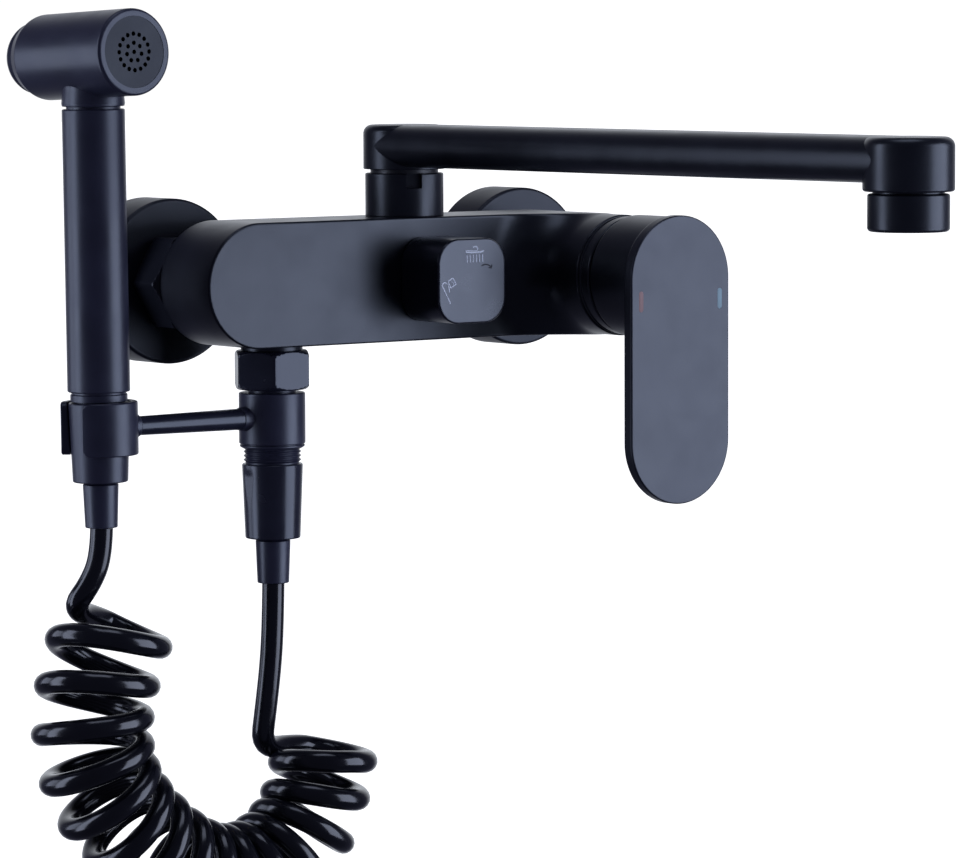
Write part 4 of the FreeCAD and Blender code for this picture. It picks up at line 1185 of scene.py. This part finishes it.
@dataclass
class SprayerHolder:
    """The tee under the outlet, its arm, and the open clip that the sprayer's nut stands in."""

    lean: Lean = field(default_factory=Lean)
    axis: tuple[float, float] = OUTLET_AXIS
    tee_radius: float = 11.2
    tee_top: float = -36.8
    tee_low: float = -54.0
    arm_height: float = -45.3
    arm_radii: tuple[float, float] = (3.65, 3.15)
    flare_start: float = 7.6
    flare_length: float = 5.6
    flare_rise: float = 3.6
    clip_radius: float = 12.7
    clip_bores: tuple[float, float] = (9.75, 10.45)
    clip_middle: float = 11.4
    clip_span: tuple[float, float] = (-54.0, -36.4)
    gap_half: float = 6.2
    jaw_corner: float = 3.0
    jaw_edge: float = 0.45

    def tee(self) -> Patch:
        """The tee: a turned tube with a collar, a thin ring and the first turns of the hose nut's thread.

        Returns:
            The patch.
        """
        r, top, low = self.tee_radius, self.tee_top, self.tee_low
        ridges = [(rad, low - 2.1 - 0.7 * k, 0.12) for k, rad in enumerate((9.0, 9.75, 9.0, 9.75, 9.0, 9.75, 9.0))]
        corners = [(4.0, -31.0), (9.3, -31.0), (9.3, -32.4), (8.0, -32.4), (8.0, top), (r, top, 0.5), (r, low, 0.35),
                   (10.5, low - 0.05, 0.1), (10.5, low - 0.35, 0.1), (10.95, low - 0.45, 0.15),
                   (10.95, low - 1.0, 0.15), (10.2, low - 1.5, 0.1), *ridges, (9.0, -70.0), (4.0, -70.0)]
        return turned(corners, (*self.axis, 0), Z_AXIS, 112, closed=True)

    def flare(self) -> Patch:
        """The flare where the arm leaves the tee: its radius falls to the arm's by a quarter circle.

        Returns:
            The patch.
        """
        steps = np.linspace(0, 1, 13)
        radii = self.arm_radii[0] + 0.25 + self.flare_rise * (1 - np.sqrt(np.maximum(1 - (1 - steps) ** 2, 0)))
        along = self.flare_start + self.flare_length * steps
        radii = np.concatenate([[0, radii[0]], radii, [radii[-1] - 0.3, 0]])
        along = np.concatenate([[4.0, 4.0], along, [along[-1] + 0.3, along[-1] + 0.3]])
        return Patch(about_axis((*self.axis, self.arm_height), -X_AXIS, even_turns(64), radii, along))

    def arm(self) -> Patch:
        """The arm: a slightly tapered rod from the tee to the clip.

        Returns:
            The patch.
        """
        start = np.array([*self.axis, self.arm_height]) - X_AXIS * 9.0
        end = np.array([self.lean.foot[0] + self.clip_radius - 1.0, self.lean.foot[1], self.arm_height])
        span = float(np.linalg.norm(end - start))
        shares = np.linspace(0, 1, 12)
        radii = self.arm_radii[0] + (self.arm_radii[1] - self.arm_radii[0]) * shares
        radii = np.concatenate([[0.0], radii, [0.0]])
        along = np.concatenate([[0.0], span * shares, [span]])
        return Patch(about_axis(start, end - start, even_turns(48), radii, along))

    def clip(self) -> Patch:
        """The clip: a tapered ring section carried round an open arc, whose jaws have round corners.

        At a distance s from a jaw's edge, under the corner's radius c, the section is lower at top and bottom by
        c - sqrt(c * c - (c - s) ** 2), and its faces draw in by a small edge rounding of the same kind.

        Returns:
            The patch.
        """
        low, high = self.clip_span
        outer, corner, soft = self.clip_radius, self.jaw_corner, self.jaw_edge
        bore_low, bore_high = self.clip_bores
        corners = [(bore_low, low, 0.3), (outer, low, 0.5), (outer, high, 0.6), (bore_high, high, 0.3)]
        section = outline(corners, closed=True)
        limit = math.pi - math.asin(self.gap_half / outer)
        ease = np.unique(np.concatenate([soft * (1 - np.cos(np.linspace(0, math.pi / 2, 6))),
                                         corner * (1 - np.cos(np.linspace(0.62, math.pi / 2, 9)))]))
        span = 2 * limit * outer
        distance = np.concatenate([ease, np.linspace(corner + 0.5, span / 2, 34)])
        along = np.concatenate([distance, span - distance[-2::-1]])
        near = np.minimum(along, span - along)
        drop, edge = (r - np.sqrt(np.maximum(r ** 2 - np.maximum(r - near, 0) ** 2, 0)) for r in (corner, soft))
        middle, centre = (low + high) / 2, self.clip_middle
        tall = 1 - 2 * (drop + edge) / (high - low)
        thick = 1 - 2 * edge / (outer - (bore_low + bore_high) / 2)
        turns = -limit + along / outer
        radii = centre + (section[:, 0][:, None] - centre) * thick
        heights = middle + (section[:, 1][:, None] - middle) * tall
        shell = about_axis((0, 0, 0), Z_AXIS, turns, radii, heights).transpose(1, 0, 2)
        return self.lean.place(capped(shell, shell[0].mean(axis=0), shell[-1].mean(axis=0)))

    def clip_boss(self) -> Patch:
        """The short collar where the arm meets the clip.

        Returns:
            The patch.
        """
        r = self.arm_radii[1]
        corners = [(0, 0), (r + 0.95, 0), (r + 0.85, 2.9, 0.4), (r - 0.2, 3.1), (0, 3.1)]
        return self.lean.place(turned(corners, (11.6, 0, self.arm_height), X_AXIS, 48))

    def build(self) -> None:
        """Builds the tee, arm and clip, and the hose's end under the tee."""
        add("holder_tee_body", [self.tee(), self.flare()], SPRAY_COAT, Body.HOLDER, "holder_tee")
        add("holder_rod", [self.arm()], NUT_COAT, Body.HOLDER, "holder_arm")
        add("holder_jaws", [self.clip(), self.clip_boss()], SPRAY_COAT, Body.HOLDER, "holder_clip")
        end = HoseEnd(-60.8, -86.1, 10.3, 9.3, -101.3, flat_half=9.75)
        end.build("tee", "lower", Body.HOLDER, Lean((*self.axis, 0.0), 0.0), NUT_COAT)


@dataclass
class HoseEnd:
    """A long tapered hose nut and the ferrule that shows below it, built upright on the Z axis."""

    nut_top: float
    nut_low: float
    radius_top: float
    radius_low: float
    ferrule_low: float
    hose_radius: float = 3.9
    bore_top: float = 8.1
    bore_low: float = 5.3
    bore_depth: float = 12.0
    flat_half: float = 0.0

    def nut(self) -> Patch:
        """The nut. Two flats across X cut it where flat_half is set: the radius is then at most half / |cos|.

        Returns:
            The patch.
        """
        top, low = self.nut_top, self.nut_low
        wide, narrow, step = self.bore_top, self.bore_low, top - self.bore_depth
        line = outline([(wide, top), (self.radius_top, top, 0.6), (self.radius_low, low, 0.5), (narrow, low, 0.2),
                        (narrow, step), (wide, step)], closed=True)
        long = np.linspace(top - 1.0, low + 1.0, 20)
        side = np.interp(long, [low, top], [self.radius_low, self.radius_top])
        cut = int(np.argmax(line[:, 1] < top - 1.5))
        line = np.insert(line, cut, np.stack([side, long], axis=-1), axis=0)
        turns = even_turns(160)
        radii = np.repeat(line[:, :1], len(turns), axis=1)
        if self.flat_half:
            flat = self.flat_half / np.maximum(np.abs(np.cos(turns)), 0.05)
            part = (line[:, 1] > low + 1.2) & (line[:, 1] < top - 2.5) & (line[:, 0] > wide + 0.1)
            least = soft_least(np.stack([radii, np.broadcast_to(flat, radii.shape)]), 0.02, axis=0)
            radii = np.where(part[:, None], least, radii)
        return Patch(about_axis((0, 0, 0), Z_AXIS, turns, radii, line[:, 1]), loop=True)

    def ferrule(self) -> Patch:
        """The tapered sleeve that is crimped on the hose.

        Returns:
            The patch.
        """
        top, low, hose = self.nut_low - 0.9, self.ferrule_low, self.hose_radius
        corners = [(5.2, top + 4.0), (5.2, top + 0.5), (5.9, top, 0.25), (5.35, low, 0.35), (hose - 0.1, low, 0.1),
                   (hose - 0.1, top + 4.0)]
        return turned(corners, (0, 0, 0), Z_AXIS, 72, closed=True)

    def build(self, prefix: str, level: str, body: Body, lean: Lean, nut_finish: Finish) -> None:
        """Builds the nut and the ferrule on their axis, and dresses the washer.

        Args:
            prefix: first word of the pieces' names.
            level: first word of the nodes' names.
            body: the body that they ride on.
            lean: their axis.
            nut_finish: the nut's finish; the ferrule has the sprayer's.
        """
        add(f"{prefix}_hose_nut", [lean.place(self.nut())], nut_finish, body, f"{level}_hose_nut")
        add(f"{prefix}_hose_ferrule", [lean.place(self.ferrule())], SPRAY_COAT, body, f"{level}_ferrule")
        dress(SEAL, f"{level}_hose_washer")


@dataclass
class HandSprayer:
    """The hand sprayer: grip, head with its spray plate, the button at the back, and the hose's upper end."""

    lean: Lean = field(default_factory=Lean)
    grip_radius: float = 10.3
    grip_low: float = -33.2
    grip_top: float = 59.0
    head_height: float = 77.1
    head_radius: float = 14.15
    head_yaw: float = 2.0
    head_pitch: float = 2.4
    rim_round: float = 2.3
    plate_seat: float = 11.65
    head_front: float = 23.7
    head_back: float = 29.0
    button_back: float = 34.2
    button_front: float = 23.0
    button_radius: float = 11.85
    button_bore: float = 10.0
    spring_radius: float = 6.3
    spring_wire: float = 0.55
    spring_turns: int = 5
    spring_points: int = 28
    spring_free: float = 30.3
    spring_seat: float = 17.1
    spring_kept: float = 0.76

    def ahead(self) -> Array:
        """The way that the head looks: -Y raised by its pitch and turned by its yaw.

        Returns:
            A unit vector.
        """
        yaw, pitch = math.radians(self.head_yaw), math.radians(self.head_pitch)
        level = math.cos(pitch)
        return np.array([math.sin(yaw) * level, -math.cos(yaw) * level, math.sin(pitch)])

    def about_head(self, corners: Sequence[tuple[float, ...]], sides: int = 128, closed: bool = False,
                   steps: int = 6) -> Patch:
        """A turned piece on the head's axis, placed on the sprayer."""
        centre = (0.0, 0.0, self.head_height)
        return self.lean.place(turned(corners, centre, self.ahead(), sides, closed, steps))

    def grip(self) -> Patch:
        """The grip: a plain tube with rounded ends, over a short stepped stub that stands in the nut.

        Returns:
            The patch.
        """
        r, low, top = self.grip_radius, self.grip_low, self.grip_top
        corners = [(0, -46.9), (8.0, -46.9), (8.0, -36.5), (9.4, -36.3, 0.2), (9.4, low - 0.9), (9.0, low - 0.6),
                   (9.0, low), (r, low, 0.55), (r, top + 0.4, 0.5), (8.9, top + 0.4), (8.9, top + 1.2), (0, top + 1.2)]
        return self.lean.place(turned(corners, (0, 0, 0), Z_AXIS, 112))

    def shell(self) -> Patch:
        """The head's casing: a cylinder with a softly rounded front rim round the spray plate's seat.

        Returns:
            The patch.
        """
        r, front, back = self.head_radius, self.head_front, self.head_back
        corners = [(0, -back + 3.0), (11.95, -back + 3.0), (11.95, -back, 0.15), (12.35, -back, 0.3),
                   (r, -back + 4.6, 3.0), (r, front, self.rim_round), (self.plate_seat, front),
                   (self.plate_seat, front - 3.0), (0, front - 3.0)]
        return self.about_head(corners)

    def neck(self) -> Patch:
        """The neck under the head: a foot ring, a slight waist and a flare into the head.

        Returns:
            The patch.
        """
        r = self.grip_radius
        corners = [(0, 60.3), (r - 0.1, 60.3, 0.3), (r + 0.1, 61.2, 0.3), (r - 0.1, 63.4, 2.0), (r - 0.45, 66.5, 3.0),
                   (r + 0.9, 70.8), (r + 0.9, 74.0), (0, 74.0)]
        return self.lean.place(turned(corners, (0, 0, 0), Z_AXIS, 112))

    def button(self) -> Patch:
        """The round button that fills the back of the head: a slightly domed, hollow cap.

        Returns:
            The patch.
        """
        r, bore, back, front = self.button_radius, self.button_bore, -self.button_back, -self.button_front
        dome = [(9.4 * t, back + 0.35 * t * t) for t in np.linspace(0, 1, 7)]
        corners = [*dome, (11.0, back + 0.8, 0.6), (r, back + 2.6, 0.8), (r, front), (bore, front),
                   (bore, back + 2.6), (0, back + 2.6)]
        return self.about_head(corners)

    def coil_spring(self) -> Patch:
        """The button's spring: a wire round the head's axis, whose height grows evenly with its turn.

        Returns:
            The patch.
        """
        count = self.spring_turns * self.spring_points
        turns = np.linspace(0, FULL * self.spring_turns, count)
        heights = np.linspace(-self.spring_free, -self.spring_seat, count)
        radii = np.full((1, count), self.spring_radius)
        line = about_axis((0.0, 0.0, self.head_height), self.ahead(), turns, radii, heights[None])[0]
        return self.lean.place(swept(line, self.spring_wire, 10))

    def build(self) -> None:
        """Builds the sprayer with its hose end and spring, and dresses the spray plate."""
        add("sprayer_grip", [self.grip()], SPRAY_COAT, Body.SPRAYER, "sprayer_handle")
        add("sprayer_casing", [self.shell(), self.neck()], SPRAY_COAT, Body.SPRAYER, "sprayer_head")
        add("press_button", [self.button()], SPRAY_COAT, Body.BUTTON, "spray_button", slot=Slot.BLACK_PLASTIC)
        end = HoseEnd(-36.7, -62.9, 10.1, 9.1, -78.0)
        end.build("sprayer", "upper", Body.SPRAYER, self.lean, SPRAY_COAT)
        dress(WALL_COAT, "spray_plate")
        spring = add("button_coil_spring", [self.coil_spring()], STEEL, Body.SPRAYER, "button_spring")
        seat = Patch(np.array([0.0, 0.0, self.head_height]) - self.spring_seat * self.ahead())
        anchor = self.lean.place(seat).points * MM
        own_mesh(spring)


def spline_points(points: Array, resolution: int) -> Array:
    """Points along the smooth NURBS line whose control points are given.

    Args:
        points: control points, in metres.
        resolution: points read for each control point.

    Returns:
        The line's points, in metres.
    """
    data = bpy.data.curves.new("route", "CURVE")
    data.dimensions = "3D"
    spline = data.splines.new("NURBS")
    spline.points.add(len(points) - 1)
    spline.points.foreach_set("co", np.hstack([points, np.ones((len(points), 1))]).ravel())
    spline.order_u = 3
    spline.use_endpoint_u = True
    spline.resolution_u = resolution
    route = bpy.data.objects.new("route", data)
    mesh = bpy.data.meshes.new_from_object(route)
    line = np.zeros(len(mesh.vertices) * 3)
    mesh.vertices.foreach_get("co", line)
    bpy.data.meshes.remove(mesh)
    bpy.data.objects.remove(route)
    bpy.data.curves.remove(data)
    return line.reshape(-1, 3)


def arc_length(line: Array) -> Array:
    """Distance along a line at each of its points."""
    return np.concatenate([[0.0], np.cumsum(np.linalg.norm(np.diff(line, axis=0), axis=1))])


@dataclass
class CurlyHose:
    """The curly hose from the tee to the sprayer: two plain tails and a coil that hangs in a loop.

    Route points are metres. The coil's axis is the line of axis_route; its turns are offsets from that line by
    winding * (cos phase * side + sin phase * across), sixteen points a turn, and with the tails' points they are the
    control points of the hose's own line. Near each end the turns stand apart by 1 + slack * exp(-distance / reach).
    """

    radius: float = 0.00385
    turns: int = 15
    per_turn: int = 16
    winding: tuple[float, float] = (0.0174, 0.01475)
    axis_route: tuple[tuple[float, float], ...] = (
        (-0.1176, -0.1058), (-0.1255, -0.1244), (-0.1292, -0.1418), (-0.1275, -0.1580), (-0.1197, -0.1728),
        (-0.1071, -0.1859), (-0.0921, -0.1964), (-0.0761, -0.2015), (-0.0601, -0.1990), (-0.0462, -0.1897),
        (-0.0369, -0.1746), (-0.0335, -0.1544))
    axis_y: float = -0.047
    sink_pace: float = 1.6
    slack: tuple[tuple[float, float], ...] = ((0.33, 0.018), (0.04, 0.02))
    last_sink: float = 0.0055
    bend_span: tuple[float, float] = (-0.060, -0.104)
    bend_height: float = -0.19
    upper_tail: tuple[tuple[float, float, float], ...] = (
        (-0.1243, -0.0471, -0.0782), (-0.1245, -0.0469, -0.0875), (-0.1273, -0.0448, -0.0965),
        (-0.1324, -0.0409, -0.1052))
    lower_tail: tuple[tuple[float, float, float], ...] = (
        (-0.0551, -0.0466, -0.1013), (-0.0549, -0.0459, -0.1150), (-0.0546, -0.0440, -0.1295),
        (-0.0548, -0.0412, -0.1450), (-0.0546, -0.0378, -0.1590))
    side: tuple[float, float, float] = (-0.793, 0.609, 0.0)
    length: float = 1.61
    sides: int = 16
    axis_detail: int = 24
    line_detail: int = 6
    least_step: float = 1e-5
    sharp: float = 60.0

    def control(self) -> Array:
        """Control points of the hose's line, from the tee's ferrule to the sprayer's.

        Returns:
            The points, in metres.
        """
        axis = spline_points(np.array([(x, self.axis_y, z) for x, z in self.axis_route]), self.axis_detail)
        along = arc_length(axis)
        count = self.turns * self.per_turn
        (top_slack, top_reach), (end_slack, end_reach) = self.slack
        pace = 1 / (1 + top_slack * np.exp(-along / top_reach) + end_slack * np.exp((along - along[-1]) / end_reach))
        phase = np.concatenate([[0.0], np.cumsum((pace[1:] + pace[:-1]) / 2 * np.diff(along))])
        share = np.linspace(0, 1, count + 1)
        where = np.interp(share, phase / phase[-1], along)
        centre = np.stack([np.interp(where, along, axis[:, k]) for k in range(3)], axis=-1)
        ahead = np.gradient(axis, axis=0)
        ahead = lengths_of_one(np.stack([np.interp(where, along, ahead[:, k]) for k in range(3)], axis=-1))
        side = lengths_of_one(np.array(self.side) - ahead * (ahead @ np.array(self.side))[:, None])
        across = np.cross(ahead, side)
        turn = FULL * self.turns * share[:, None]
        size = self.winding[0] + (self.winding[1] - self.winding[0]) * share[:, None]
        coil = centre + size * (np.cos(turn) * side + np.sin(turn) * across)
        to_end = np.arange(count, -1, -1) / self.per_turn
        coil[:, 2] -= self.last_sink * np.clip(1 - to_end * self.sink_pace, 0, 1)
        return np.concatenate([self.lower_tail, coil[3:-2][::-1], self.upper_tail[::-1]])

    def build(self) -> None:
        """Builds the hose as a tube along its line, from the holder to the sprayer."""
        line = spline_points(self.control(), self.line_detail)
        apart = np.concatenate([[True], np.linalg.norm(np.diff(line, axis=0), axis=1) > self.least_step])
        line = line[apart]
        LOG.info("the hose is %.3f m long", arc_length(line)[-1])
        tube = swept(line / MM, self.radius / MM, self.sides)
        hose = skin("curly_hose", [tube], HOSE_SKIN.make(), self.sharp)
        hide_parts("hose_coil", "hose_tail_upper", "hose_tail_lower")
        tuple(self.lower_tail[0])
        start, end = ((x, self.axis_y, self.bend_height) for x in self.bend_span)
        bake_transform(hose)
        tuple(start)
        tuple(end)
        LOG.info("curly_hose bends between holder and sprayer")


# ---- studio ----
@dataclass
class Softbox:
    """A large square light that faces the faucet."""

    name: str
    place: tuple[float, float, float]
    size: tuple[float, float]
    power: float
    colour: Colour = (0.69, 0.765, 1.0)
    target: tuple[float, float, float] = (0.0, -0.06, 0.0)
    only: tuple[str, ...] = ()

    def build(self) -> None:
        """Adds the light, and keeps it to the pieces in only where there are any."""
        data = bpy.data.lights.new(self.name, "AREA")
        data.shape = "RECTANGLE"
        data.size, data.size_y = self.size
        data.energy, data.color = self.power, self.colour
        lamp = bpy.data.objects.new(self.name, data)
        lamp.location = self.place
        away = Vector(self.target) - Vector(self.place)
        lamp.rotation_euler = away.to_track_quat("-Z", "Y").to_euler()
        bpy.context.scene.collection.objects.link(lamp)
        if self.only:
            group = bpy.data.collections.new(f"{self.name}_pieces")
            for name in self.only:
                group.objects.link(bpy.data.objects[name])
            lamp.light_linking.receiver_collection = group


@dataclass
class Studio:
    """Camera, pale floor, soft lights and the pale surroundings."""

    eye: tuple[float, float, float] = (-1.02862, -1.43122, 0.09240)
    azimuth: float = 37.504
    elevation: float = 4.799
    roll: float = -0.205
    lens: float = 188.106
    sensor: float = 36.0
    floor_height: float = -0.75
    floor_size: float = 60.0
    bright_way: tuple[float, float, float] = (0.607, 0.79, 0.08)
    glow: tuple[tuple[float, Colour], ...] = (
        (0.30, (0.050, 0.052, 0.085)), (0.72, (0.085, 0.088, 0.14)), (0.97, (0.88, 0.92, 1.0)))
    backdrop: float = 1.05

    def camera(self) -> None:
        """Sets up the camera: it looks along the azimuth from +Y towards +X, a little down."""
        az, el, roll = (math.radians(a) for a in (self.azimuth, self.elevation, self.roll))
        look = np.array([math.sin(az) * math.cos(el), math.cos(az) * math.cos(el), -math.sin(el)])
        right = np.array([math.cos(az), -math.sin(az), 0.0])
        up = np.cross(right, look)
        tilted = math.cos(roll) * right + math.sin(roll) * up, -math.sin(roll) * right + math.cos(roll) * up
        data = bpy.data.cameras.new("camera")
        data.lens, data.sensor_width, data.sensor_fit = self.lens, self.sensor, "HORIZONTAL"
        data.clip_start, data.clip_end = 0.05, 200.0
        eye = bpy.data.objects.new("camera", data)
        pose = np.eye(4)
        pose[:3, :3] = np.stack([tilted[0], tilted[1], -look], axis=-1)
        pose[:3, 3] = self.eye
        eye.matrix_world = Matrix(pose.tolist())
        bpy.context.scene.collection.objects.link(eye)
        bpy.context.scene.camera = eye

    def floor(self) -> None:
        """Adds the plain pale floor, well below the hose."""
        half, z = self.floor_size / 2, self.floor_height
        mesh = bpy.data.meshes.new("floor")
        mesh.from_pydata([(-half, -half, z), (half, -half, z), (half, half, z), (-half, half, z)], [], [(0, 1, 2, 3)])
        recipe = Recipe("pale_floor")
        recipe.set(Roughness=0.9, Emission_Color=(1.0, 1.0, 1.0), Emission_Strength=1.15)
        recipe.tint(recipe.noise((3.0, 2.0)), (0.86, 0.86, 0.87), (0.90, 0.90, 0.90))
        mesh.materials.append(recipe.material)
        floor = bpy.data.objects.new("floor", mesh)
        bpy.context.scene.collection.objects.link(floor)
        floor.visible_glossy = False
        floor.visible_diffuse = False

    def surroundings(self) -> None:
        """A pale studio: bright behind the faucet on the right, dim elsewhere, and plain white to look at."""
        world = bpy.data.worlds.new("studio")
        bpy.context.scene.world = world
        world.use_nodes = True
        tree = world.node_tree
        nodes, links = tree.nodes, tree.links
        nodes.clear()
        towards = nodes.new("ShaderNodeVectorMath")
        towards.operation = "DOT_PRODUCT"
        towards.inputs[1].default_value = unit(self.bright_way).tolist()
        links.new(nodes.new("ShaderNodeTexCoord").outputs["Generated"], towards.inputs[0])
        glow = colour_ramp(tree, towards.outputs["Value"], self.glow)
        dim = feed(tree, nodes.new("ShaderNodeBackground"), Color=glow)
        white = feed(tree, nodes.new("ShaderNodeBackground"), Color=(1.0, 1.0, 1.0), Strength=self.backdrop)
        mix = feed(tree, nodes.new("ShaderNodeMixShader"),
                   Fac=nodes.new("ShaderNodeLightPath").outputs["Is Camera Ray"])
        for shader, socket in zip((dim, white), mix.inputs[1:]):
            links.new(shader.outputs[0], socket)
        feed(tree, nodes.new("ShaderNodeOutputWorld"), Surface=mix.outputs[0])

    def build(self) -> None:
        """Sets up the whole studio."""
        self.camera()
        self.floor()
        self.surroundings()
        bpy.context.scene.view_settings.view_transform = "Standard"
        for box in (Softbox("softbox_right", (0.86, -1.18, -0.06), (1.1, 1.5), 20.0),
                    Softbox("softbox_left", (-1.25, 0.45, 0.02), (0.5, 1.5), 9.0),
                    Softbox("softbox_top", (-0.1, -0.3, 1.5), (0.9, 0.7), 4.0)):
            box.build()
            LOG.info("%s placed", box.name)


def main() -> None:
    """Builds the studio and every sub-assembly."""
    logging.basicConfig(level=logging.INFO, format="%(message)s")
    Studio().build()
    for part in (CurlyHose(), WallInlet(Side.LEFT), WallInlet(Side.RIGHT), Casting(), MixingCartridge(), LeverHandle(),
                 DiverterKnob(), SpoutSeat(), Spout(), HoseOutlet(), SprayerHolder(), HandSprayer()):
        part.build()
        LOG.info("built %s", type(part).__name__)
    Softbox("softbox_edge", (-0.74, 0.73, -0.01), (0.42, 0.55), 1.5, target=(-0.12, -0.05, 0.05),
            only=("sprayer_grip", "sprayer_casing", "sprayer_hose_nut", "sprayer_hose_ferrule", "holder_jaws",
                  "tee_hose_nut", "curly_hose")).build()
    bpy.context.view_layer.update()


if __name__ == "__main__":
    main()
